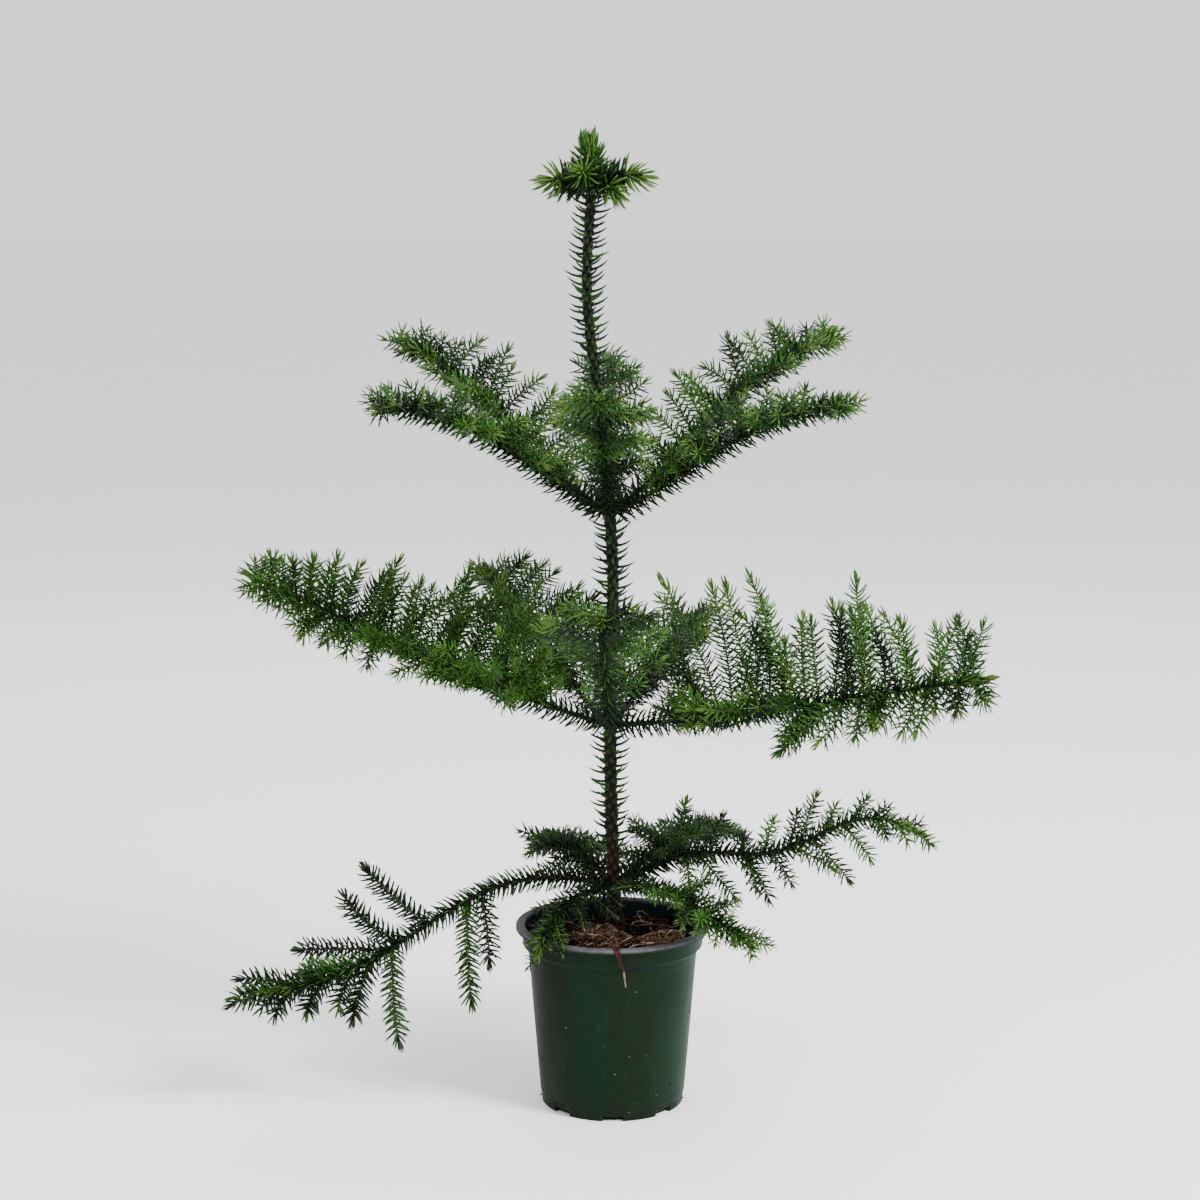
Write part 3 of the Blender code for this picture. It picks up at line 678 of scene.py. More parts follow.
@dataclass(frozen=True)
class NurseryPot:
    """Turned pot: tapering body, a foot ring, a collar under a rolled lip, and drain notches."""

    height: float = 0.155
    base_radius: float = 0.061
    body_top_radius: float = 0.0722
    collar_radius: float = 0.077
    lip_radius: float = 0.0825
    lip_thickness: float = 0.0042
    collar_height: float = 0.017
    step_height: float = 0.003
    wall: float = 0.002
    floor: float = 0.0025
    foot_height: float = 0.0098
    foot_set_back: float = 0.0006
    ring_z: float = 0.129
    ring_depth: float = 0.0003
    notch_count: int = 8
    notch_width: float = 0.017
    notch_height: float = 0.0045
    notch_depth: float = 0.005
    notch_room: float = 0.0001
    pair_gap: float = 0.004
    least_gap: float = 0.003
    sides: int = 180
    corner_steps: int = 5

    def corners(self) -> list[tuple[float, float, float]]:
        """Section from the axis up the inside and down the outside: radius, height, rounding."""
        collar_foot = self.height - self.collar_height
        body_top = collar_foot - self.step_height
        inner = self.collar_radius - self.wall
        slope = (self.body_top_radius - self.base_radius) / body_top
        ring = self.base_radius + slope * self.ring_z
        foot_ring = self.base_radius + slope * self.foot_height
        lip_foot = self.height - self.lip_thickness
        depth = self.ring_depth
        return [
            (0.0, self.floor, 0.0),
            (self.base_radius - self.wall, self.floor, 0.0025),
            (self.body_top_radius - self.wall, body_top + 0.5 * self.wall, 0.0012),
            (inner - 0.0004, collar_foot + 0.5 * self.wall, 0.0012),
            (inner, self.height, 0.0011),
            (self.lip_radius, self.height, 0.0015),
            (self.lip_radius, lip_foot, 0.0011),
            (self.collar_radius, lip_foot, 0.0006),
            (self.collar_radius - 0.0003, collar_foot, 0.001),
            (self.body_top_radius, body_top, 0.001),
            (ring, self.ring_z, 0.0004),
            (ring - depth, self.ring_z - 0.0008, 0.0003),
            (ring - depth - 0.0003, self.ring_z - 0.005, 0.001),
            (0.5 * (ring + foot_ring), 0.5 * (self.ring_z + self.foot_height), 0.001),
            (foot_ring, self.foot_height, 0.0005),
            (foot_ring - self.foot_set_back, self.foot_height - 0.001, 0.0004),
            (self.base_radius - 0.0003, 0.0, 0.0012),
            (self.base_radius - self.notch_depth + 0.0002, 0.0, 0.0),
            (self.base_radius - self.notch_depth - 0.0002, 0.0, 0.0),
            (0.0, 0.0, 0.0),
        ]

    def profile(self) -> Array:
        """Section with each corner rounded.

        A rounded corner is a quadratic curve from a point before the corner to a point past
        it, with the corner as its handle.

        Returns:
            Radius and height of each point.
        """
        corners = np.array(self.corners())
        places = corners[:, :2]
        made = [places[:1]]
        t = np.linspace(0.0, 1.0, self.corner_steps)[:, None]
        for before, corner, after, reach in zip(places, places[1:], places[2:], corners[1:, 2]):
            if reach == 0.0:
                made.append(corner[None])
                continue
            enter = corner + unit(before - corner) * reach
            leave = corner + unit(after - corner) * reach
            made.append((1 - t)**2 * enter + 2 * (1 - t) * t * corner + t**2 * leave)
        made.append(places[-1:])
        return np.concatenate(made)

    def turns(self) -> Array:
        """Angles of the turned grid: even steps, with a close pair at each notch's side.

        Returns:
            Rising angles in radians, all different.
        """
        even = round_steps(self.sides)
        half = 0.5 * self.notch_width / self.base_radius
        middle = round_steps(self.notch_count)
        sides = np.array([-half - self.pair_gap, -half, half, half + self.pair_gap])
        edges = (middle[:, None] + sides).ravel() % (2.0 * np.pi)
        gap = np.abs(even[:, None] - edges[None])
        kept = even[np.minimum(gap, 2.0 * np.pi - gap).min(axis=1) > self.least_gap]
        return np.sort(np.concatenate([kept, edges]))

    def build(self, effects: Effects) -> None:
        """Turn the profile, lift the foot at the notches, and dress the pot.

        A point that lies in a notch has its height z squeezed upwards: the foot goes to the
        notch's height and a point twice as high stays.

        Args:
            effects: the shared shader groups.
        """
        profile = self.profile()
        radius, height = profile[1:-1].T
        turns = self.turns()
        half = 0.5 * self.notch_width / self.base_radius
        pitch = 2.0 * np.pi / self.notch_count
        from_middle = np.abs((turns + 0.5 * pitch) % pitch - 0.5 * pitch)
        in_notch = (from_middle <= half + self.notch_room)[None]
        limit = 2.0 * self.notch_height
        outer = (radius > self.base_radius - self.notch_depth) & (height < limit)
        outer &= np.arange(len(radius)) > len(radius) // 2
        lifted = self.notch_height + 0.5 * height
        heights = np.where(in_notch & outer[:, None], lifted[:, None], height[:, None])
        skin = np.stack([radius[:, None] * np.cos(turns - 0.5 * np.pi),
                         radius[:, None] * np.sin(turns - 0.5 * np.pi), heights], axis=-1)
        rings, sides = skin.shape[:2]
        poles = np.array([[0.0, 0.0, profile[0, 1]], [0.0, 0.0, profile[-1, 1]]])
        points = np.concatenate([skin.reshape(-1, 3), poles])
        piece = Piece("nursery_pot", Slot.POT)
        piece.add(points, body_triangles(1, rings, sides))
        finish = PlasticFinish(self.height, self.collar_radius - 0.4 * self.wall,
                               self.height - self.collar_height - 0.5 * self.step_height)
        piece.finish(finish.build(effects), "pot")

    def is_clear(self, points: Array, room: Room) -> Array:
        """Whether all points of each row leave the pot and its filling their room.

        Args:
            points: points, shaped (rows, n, 3).
            room: the room.

        Returns:
            One answer for each row.
        """
        radius = np.hypot(points[..., 0], points[..., 1])
        over_rim = ((radius > self.body_top_radius - room.inside)
                    & (radius < self.lip_radius + room.outside))
        lowest = np.where(over_rim, self.height + room.above,
                          np.where(radius < self.lip_radius, room.mix_z, -1.0))
        return (points[..., 2] > lowest).all(axis=1)


@dataclass(frozen=True)
class PottingMix:
    """Peaty mix with crumbs, chips and coir, crowned to the trunk, and a dry root over the rim."""

    edge_z: float = 0.14
    crown_z: float = 0.149
    under_z: float = 0.118
    seat_radius: float = 0.011
    edge_radius: float = 0.0694
    under_radius: float = 0.066
    crown_power: float = 0.8
    roughness: float = 0.0025
    wave_number: float = 90.0
    wave_growth: float = 1.055
    wave_fading: float = 0.7
    wave_gain: float = 0.32
    calm_radius: float = 0.012
    calm_edge: float = 0.7
    clump: Pair = (0.044, -0.042)
    clump_rise: float = 0.0105
    clump_spread: float = 0.019
    tuft: Pair = (-0.01, -0.024)
    tuft_rise: float = 0.005
    tuft_spread: float = 0.014
    rings: int = 76
    ring_power: float = 0.85
    sides: int = 170
    waves: int = 60
    crumbs: int = 1700
    chips: int = 280
    strands: int = 440
    strips: int = 130
    root_strands: tuple[Pair, ...] = ((1.0, 0.0011), (0.78, 0.0009), (0.64, 0.001),
                                      (0.55, 0.0009), (0.72, 0.0007), (0.6, 0.0006))
    spilt_crumbs: int = 170
    edge_room: float = 0.003
    heap_spread: float = 0.01
    clump_stretch: float = 1.3
    tuft_squash: float = 0.8
    lump_span: float = 0.62
    lump_shift: float = 0.16
    lump_widths: Pair = (0.55, 1.0)
    lump_sides: int = 5
    strand_heaps: Pair = (0.5, 0.34)
    strand_lengths: Pair = (0.008, 0.03)
    strand_rises: Pair = (-0.1, 0.25)
    strand_bow: float = 0.9
    strand_end: float = 0.35
    strand_room: float = 0.001

    def height(self, x: Array, y: Array) -> Array:
        """Height of the mix at a place.

        It falls from the crown to the edge with a power of the distance from the trunk.
        Cosine waves in seeded directions roughen it, the shorter the lower. Two bell-shaped
        mounds of coir stand at the front right and before the trunk.

        Args:
            x: distance to the right.
            y: distance to the back.

        Returns:
            Heights in metres.
        """
        dice = np.random.default_rng([SEED, 1])
        radius = np.hypot(x, y)
        share = np.clip((radius - self.seat_radius) / (self.edge_radius - self.seat_radius), 0, 1)
        level = self.crown_z + (self.edge_z - self.crown_z) * share**self.crown_power
        number = self.wave_number * self.wave_growth ** np.arange(self.waves)
        heading = dice.uniform(0.0, 2.0 * np.pi, self.waves)
        phase = dice.uniform(0.0, 2.0 * np.pi, self.waves)
        rough = np.zeros_like(level)
        for k in range(self.waves):
            there = x * np.cos(heading[k]) + y * np.sin(heading[k])
            rough += (np.cos(number[k] * there + phase[k])
                      * (number[0] / number[k]) ** self.wave_fading)
        calm = (smooth_step(0.0, self.calm_radius, radius)
                * (1.0 - self.calm_edge * smooth_step(0.9, 1.0, share)))
        mounds = 0.0
        for place, rise, spread in ((self.clump, self.clump_rise, self.clump_spread),
                                    (self.tuft, self.tuft_rise, self.tuft_spread)):
            away = np.hypot(x - place[0], y - place[1])
            mounds = mounds + rise * np.exp(-(away / spread) ** 2)
        return level + self.roughness * calm * rough * self.wave_gain + mounds

    def pulled_in(self, x: Array, y: Array, margin: float) -> Array:
        """Factor that draws places past the mix's edge, less a margin, back to it."""
        return np.minimum(1.0, (self.edge_radius - margin) / np.maximum(np.hypot(x, y), 1e-6))

    def bed(self) -> Piece:
        """The body of the mix: a round grid of heights, closed underneath."""
        share = np.linspace(0.0, 1.0, self.rings)[1:] ** self.ring_power
        turn = round_steps(self.sides)
        radius = np.concatenate([self.edge_radius * share, [self.under_radius]])
        x, y = radius[:, None] * np.cos(turn), radius[:, None] * np.sin(turn)
        z = self.height(x, y)
        z[-1] = self.under_z
        skin = np.stack([x, y, z], axis=-1)[::-1]
        top = self.height(np.zeros(1), np.zeros(1))[0]
        poles = np.array([[0.0, 0.0, self.under_z], [0.0, 0.0, top]])
        points = np.concatenate([skin.reshape(-1, 3), poles])
        piece = Piece("potting_mix_bed", Slot.SOIL)
        piece.add(points, body_triangles(1, self.rings, self.sides))
        return piece

    def scatter(self, count: int, dice: np.random.Generator, clump_share: float,
                tuft_share: float) -> Array:
        """Places on the mix.

        Args:
            count: how many.
            dice: random numbers.
            clump_share: share of them that lie on the mound at the front right.
            tuft_share: share of them that lie on the mound before the trunk.

        Returns:
            Points on the surface, shaped (count, 3).
        """
        turn = dice.uniform(0.0, 2.0 * np.pi, count)
        wide = (self.edge_radius - self.edge_room) * np.sqrt(dice.uniform(0.0, 1.0, count))
        x, y = wide * np.cos(turn), wide * np.sin(turn)
        kind = dice.uniform(0.0, 1.0, count)
        near = dice.normal(0.0, self.heap_spread, (2, count))
        on_clump = kind < clump_share
        on_tuft = (kind >= clump_share) & (kind < clump_share + tuft_share)
        x = np.where(on_clump, self.clump[0] + self.clump_stretch * near[0],
                     np.where(on_tuft, self.tuft[0] + near[0], x))
        y = np.where(on_clump, self.clump[1] + near[1],
                     np.where(on_tuft, self.tuft[1] + self.tuft_squash * near[1], y))
        inside = self.pulled_in(x, y, self.edge_room)
        x, y = x * inside, y * inside
        return np.stack([x, y, self.height(x, y)], axis=-1)

    def lumps(self, name: str, places: Array, sizes: Array, flatness: float, stretch: float,
              dice: np.random.Generator) -> Piece:
        """Small rough bodies of few sides and three uneven rings, each turned its own way.

        Args:
            name: the piece's name.
            places: their centres.
            sizes: their half lengths.
            flatness: thickness as a share of width.
            stretch: length as a share of width.
            dice: random numbers.

        Returns:
            The piece, still to be dressed.
        """
        count = len(places)
        lying_down = np.array([1.0, 1.0, 0.35])
        along = unit(dice.normal(0.0, 1.0, (count, 3)) * lying_down)
        across = unit(np.cross(along, unit(dice.normal(0.0, 1.0, (count, 3)))))
        upward = np.cross(along, across)
        spans = np.array([-self.lump_span, 0.0, self.lump_span]) * stretch
        centres = places[:, None] + along[:, None] * sizes[:, None, None] * spans[:, None]
        centres += dice.normal(0.0, self.lump_shift, (count, 3, 3)) * sizes[:, None, None]
        width = sizes[:, None, None] * dice.uniform(*self.lump_widths, (count, 3, 1))
        poles = along * sizes[:, None] * stretch
        piece = Piece(name, Slot.SOIL)
        piece.add(*sweep(centres, across[:, None] * width, upward[:, None] * width * flatness,
                         places - poles, places + poles, self.lump_sides))
        return piece

    def fibres(self, name: str, count: int, thickness: Pair, dice: np.random.Generator) -> Piece:
        """Coir strands that lie on the mix and bow up a little and sideways.

        With s from 0 to 1, the middle line is the place plus (s - 0.5) times the heading, plus
        s times (1 - s) times a sideways bow and a rise, all times the length.

        Args:
            name: the piece's name.
            count: how many strands.
            thickness: least and greatest half thickness.
            dice: random numbers.

        Returns:
            The piece, still to be dressed.
        """
        places = self.scatter(count, dice, *self.strand_heaps)
        turn = dice.uniform(0.0, 2.0 * np.pi, count)
        length = dice.uniform(*self.strand_lengths, count)[:, None, None]
        heading = np.stack([np.cos(turn), np.sin(turn), dice.uniform(*self.strand_rises, count)],
                           axis=-1)
        sideways = np.stack([-np.sin(turn), np.cos(turn), np.zeros(count)], axis=-1)
        s = np.linspace(0.0, 1.0, 7)[None, :, None]
        bow = dice.normal(0.0, self.strand_bow, count)[:, None, None]
        rise = dice.uniform(0.0, 1.0, count)[:, None, None]
        paths = places[:, None] + length * (
            (s - 0.5) * heading[:, None] + bow * s * (1 - s) * sideways[:, None]
            + rise * s * (1 - s) * UPWARD)
        shrink = self.pulled_in(paths[..., 0], paths[..., 1], self.strand_room)
        paths[..., :2] *= shrink[..., None]
        floor = self.height(paths[..., 0], paths[..., 1])
        paths[..., 2] = np.maximum(paths[..., 2], floor)
        across, upward = frames(paths, UPWARD + 0.01)
        half = dice.uniform(*thickness, count)[:, None, None]
        taper = mix((self.strand_end, 1.0), np.sin(np.pi * s)) * half
        piece = Piece(name, Slot.SOIL)
        piece.add(*sweep(paths, across * taper, upward * taper, paths[:, 0], paths[:, -1], 3))
        return piece

    def dry_root(self, rim_z: float, rim_radius: float) -> Piece:
        """Thin strands that leave the mix, cross the rim and hang down the front.

        Args:
            rim_z: height of the rim.
            rim_radius: its outer radius.

        Returns:
            The piece, still to be dressed.
        """
        knots = np.array([[0.002, -0.06, 0.144], [0.002, -0.0725, 0.1535],
                          [0.003, -rim_radius + 0.003, rim_z + 0.0012],
                          [0.004, -rim_radius - 0.0012, rim_z - 0.002],
                          [0.0055, -rim_radius - 0.001, rim_z - 0.01],
                          [0.008, -rim_radius + 0.0015, rim_z - 0.02],
                          [0.0108, -rim_radius + 0.0035, rim_z - 0.032]])
        t = np.linspace(0.0, 1.0, 40)
        at = np.linspace(0.0, 1.0, len(knots))
        middle = np.stack([np.interp(t, at, knots[:, k]) for k in range(3)], axis=-1)
        for _ in range(6):
            middle[1:-1] = 0.25 * middle[:-2] + 0.5 * middle[1:-1] + 0.25 * middle[2:]
        piece = Piece("dry_root", Slot.BARK)
        turns, wide, gathered, tapered, knobbly, knobs = 1.3, 0.003, 0.75, 0.45, 0.25, 17.0
        for k, (reach, thickness) in enumerate(self.root_strands):
            used = middle[:int(len(middle) * reach)]
            s = np.linspace(0.0, 1.0, len(used))
            twist = 2.0 * np.pi * (turns * s + k / len(self.root_strands))
            spread = wide * (1.0 - gathered * s * reach)
            off = np.stack([np.cos(twist) * spread, -0.3 * np.abs(np.sin(twist)) * spread,
                            np.zeros_like(s)], axis=-1)
            path = (used + off)[None]
            across, upward = frames(path, np.array([1.0, 0.1, 0.0]))
            half = thickness * (1.0 - tapered * s) * (1.0 + knobbly * np.sin(knobs * s + k))
            half = half[None, :, None]
            points, triangles = sweep(path, across * half, upward * half, path[:, 0], path[:, -1],
                                      7)
            piece.add(points, triangles, np.ones(len(points)))
        return piece

    def spilt(self, pot: NurseryPot, dice: np.random.Generator) -> Piece:
        """Crumbs that stick to the pot's outside, most of them near its foot.

        Args:
            pot: the pot.
            dice: random numbers.

        Returns:
            The piece, still to be dressed.
        """
        count = self.spilt_crumbs
        height = 0.003 + 0.11 * dice.uniform(0.0, 1.0, count) ** 2.6
        turn = dice.uniform(0.0, 2.0 * np.pi, count)
        share = height / (pot.height - pot.collar_height)
        radius = mix((pot.base_radius, pot.body_top_radius), share) + 0.0001
        places = np.stack([radius * np.cos(turn), radius * np.sin(turn), height], axis=-1)
        sizes = dice.uniform(0.0003, 0.001, count)
        return self.lumps("spilt_crumbs", places, sizes, 0.8, 1.1, dice)

    def build(self, effects: Effects, pot: NurseryPot) -> None:
        """Make and dress every part of the mix.

        Args:
            effects: the shared shader groups.
            pot: the pot that it fills.
        """
        peat = PeatFinish("peat", (0.0012, 0.0009, 0.0008), (0.006, 0.0036, 0.0028),
                          210.0, 0.0012)
        crumb = PeatFinish("peat_crumb", (0.0016, 0.0012, 0.0011), (0.015, 0.009, 0.0066),
                           120.0)
        chip = PeatFinish("bark_chip", (0.008, 0.0016, 0.0016), (0.12, 0.036, 0.028), 150.0)
        coir = PeatFinish("coir", (0.0026, 0.001, 0.0009), (0.29, 0.165, 0.105), 210.0, 0.0002)
        strip = PeatFinish("coir_strip", (0.006, 0.0018, 0.0016), (0.43, 0.3, 0.215), 150.0,
                           0.0003)
        spilt = PeatFinish("spilt_crumb", (0.006, 0.0042, 0.003), (0.05, 0.034, 0.022), 160.0)
        root = BarkFinish("dry_root_skin", (0.01, 0.003, 0.003), (0.024, 0.0062, 0.0052),
                          (0.17, 0.14, 0.098), 0.102, 0.118)
        self.bed().finish(peat.build(effects), "soil")
        dice = np.random.default_rng([SEED, 2])
        places = self.scatter(self.crumbs, dice, 0.03, 0.1)
        sizes = 0.0007 + 0.0026 * dice.uniform(0.0, 1.0, self.crumbs) ** 2.2
        self.lumps("peat_crumbs", places, sizes, 0.8, 1.0, dice).finish(crumb.build(effects))
        places = self.scatter(self.chips, dice, 0.2, 0.22) + np.array([0.0, 0.0, 0.0008])
        sizes = dice.uniform(0.0009, 0.0024, self.chips)
        self.lumps("bark_chips", places, sizes, 0.22, 2.2, dice).finish(chip.build(effects))
        self.fibres("coir_fibres", self.strands, (0.00018, 0.00045), dice).finish(
            coir.build(effects))
        self.fibres("coir_strips", self.strips, (0.00055, 0.001), dice).finish(
            strip.build(effects))
        self.spilt(pot, dice).finish(spilt.build(effects))
        self.dry_root(pot.height, pot.lip_radius).finish(root.build(effects))


# Growth rule, as in the solids

@dataclass(frozen=True)
class TrunkLine:
    """The trunk's leaning centre line and its radius, at any height."""

    knots: tuple = ((0.149, 0.0024), (0.25, -0.0011), (0.33, -0.0022), (0.475, -0.0007),
                    (0.6, -0.0122), (0.69, -0.0214), (0.78, -0.0183), (0.823, -0.0197))
    foot_z: float = 0.149
    tip_z: float = 0.796
    foot_radius: float = 0.0052
    top_radius: float = 0.0034
    tip_radius: float = 0.0022
    root_flare: float = 0.003
    flare_height: float = 0.012
    collar_swell: float = 0.0012
    collar_spread: float = 0.007
    whorls: tuple = (0.19, 0.328, 0.508, 0.779)

    def centre(self, height: Array) -> Array:
        """Points of the centre line: a cubic through the knots with mean slopes.

        Args:
            height: heights, of any shape.

        Returns:
            Points, with a last axis of three.
        """
        heights, offsets = np.array(self.knots).T
        slopes = np.gradient(offsets, heights)
        i = np.clip(np.searchsorted(heights, height) - 1, 0, len(heights) - 2)
        span = heights[i + 1] - heights[i]
        s = (height - heights[i]) / span
        x = ((2 * s**3 - 3 * s**2 + 1) * offsets[i] + (s**3 - 2 * s**2 + s) * span * slopes[i]
             + (3 * s**2 - 2 * s**3) * offsets[i + 1] + (s**3 - s**2) * span * slopes[i + 1])
        return np.stack([x, np.zeros_like(x), height + np.zeros_like(x)], axis=-1)

    def radius(self, height: Array) -> Array:
        """Even taper, plus a flare at the soil and a swelling at each whorl, to a pointed tip."""
        along = (height - self.foot_z) / (self.tip_z - self.foot_z)
        radius = self.foot_radius + (self.top_radius - self.foot_radius) * along
        radius = radius + self.root_flare * np.exp(-(height - self.foot_z) / self.flare_height)
        for whorl in self.whorls:
            radius = radius + self.collar_swell * np.exp(
                -((height - whorl) / self.collar_spread) ** 2)
        return np.minimum(radius, self.tip_radius + 0.25 * np.maximum(self.tip_z - height, 0.0))


@dataclass(frozen=True)
class Branch:
    """One bough with its foliage: where its stem runs and how its two rows of twigs stand.

    Angles are in degrees. Azimuth is 0 at +X and 90 at the back. A pair gives the value near
    the trunk and the value near the tip. Left and right are seen from the trunk, looking out.
    A lift is the twig row's angle above the stem's side, and splay is the angle that a twig
    makes with the stem. Twigs shorten towards the tip by their share of the stem to the power
    of fading, down to tip_fullness. A crowding over 1 draws them together near the trunk. A
    bare part of the stem, from one share of it to another, has lost that row's twigs. The
    needle_size is theirs to the whorl's. Shaded, bright and fresh are shares of its sprays.
    """

    name: str
    height: float
    azimuth: float = 0.0
    reach: float = 0.0
    rise: float = 0.0
    root_slope: float = 0.0
    tip_slope: float = 0.0
    twigs: int = 8
    left_length: float = 0.052
    right_length: float = 0.052
    left_lift: Pair = (40.0, 15.0)
    right_lift: Pair = (40.0, 15.0)
    splay: Pair = (96.0, 46.0)
    first_twig: float = 0.17
    fading: float = 2.5
    tip_fullness: float = 0.3
    crowding: float = 1.0
    left_bare: Pair = (0.0, 0.0)
    right_bare: Pair = (0.0, 0.0)
    needle_size: float = 1.0
    curl: float = 5.0
    wave: float = 0.0
    wave_turns: float = 1.0
    # shaded and bright deal out painted shade and painted light among the sprays
    shaded: float = 0.3
    bright: float = 0.2
    fresh: float = 0.55

    @property
    def mass(self) -> str:
        """Name of the solid that stands for its foliage."""
        return self.name + ("_foliage" if self.twigs else "_shoot")

    def at(self, side: str, **changes: object) -> "Branch":
        """A branch like this one on a side of its whorl, with its own measures."""
        return replace(self, name=f"{self.name}_{side}", **changes)

    def stem(self, trunk: TrunkLine, clearance: float = 0.0003, handle_share: float = 0.38
             ) -> Array:
        """Centre line from the trunk's surface to the tip, evenly sampled.

        It is a cubic in the upright plane through the trunk, with the slopes given at both
        ends, plus a wave in height that fades to nothing at both ends.

        Args:
            trunk: the trunk that it grows on.
            clearance: distance of its root from the trunk's surface.
            handle_share: length of the cubic's handles as a share of its chord.

        Returns:
            Points, shaped (PATH_SAMPLES, 3).
        """
        azimuth = math.radians(self.azimuth)
        outward = np.array([math.cos(azimuth), math.sin(azimuth), 0.0])
        root = np.array([float(trunk.radius(np.array(self.height))) + clearance, 0.0])
        tip = np.array([self.reach, self.rise])
        handle = handle_share * np.linalg.norm(tip - root)
        slopes = np.radians([self.root_slope, self.tip_slope])
        near = root + handle * np.array([np.cos(slopes[0]), np.sin(slopes[0])])
        far = tip - handle * np.array([np.cos(slopes[1]), np.sin(slopes[1])])
        t = np.linspace(0.0, 1.0, 4 * PATH_SAMPLES)[:, None]
        flat = ((1 - t)**3 * root + 3 * (1 - t)**2 * t * near + 3 * (1 - t) * t**2 * far
                + t**3 * tip)
        flat[:, 1] += self.wave * np.sin(2.0 * math.pi * self.wave_turns * t[:, 0])
        points = trunk.centre(np.array(self.height)) + flat[:, :1] * outward
        points[:, 2] += flat[:, 1]
        travelled = distances(points)
        even = np.linspace(0.0, travelled[-1], PATH_SAMPLES)
        return np.stack([np.interp(even, travelled, points[:, k]) for k in range(3)], axis=1)


def distances(path: Array) -> Array:
    """Distance travelled along a path at each of its points."""
    steps = np.linalg.norm(np.diff(path, axis=0), axis=1)
    return np.concatenate([[0.0], np.cumsum(steps)])


def path_at(paths: Array, limb: Array, share: Array) -> Array:
    """Values along evenly sampled paths, straight between samples.

    Args:
        paths: values at the samples, shaped (paths, samples, 3).
        limb: path number of each value that is wanted.
        share: its share of the path's length.

    Returns:
        One row for each share.
    """
    place = np.clip(share, 0.0, 1.0) * (paths.shape[1] - 1)
    i = np.minimum(place.astype(int), paths.shape[1] - 2)
    step = (place - i)[:, None]
    return paths[limb, i] * (1.0 - step) + paths[limb, i + 1] * step


@dataclass(frozen=True)
class Twigs:
    """Twigs of one branch: their paths, the stem's direction at each root, and their length."""

    paths: Array
    stems: Array
    lengths: Array


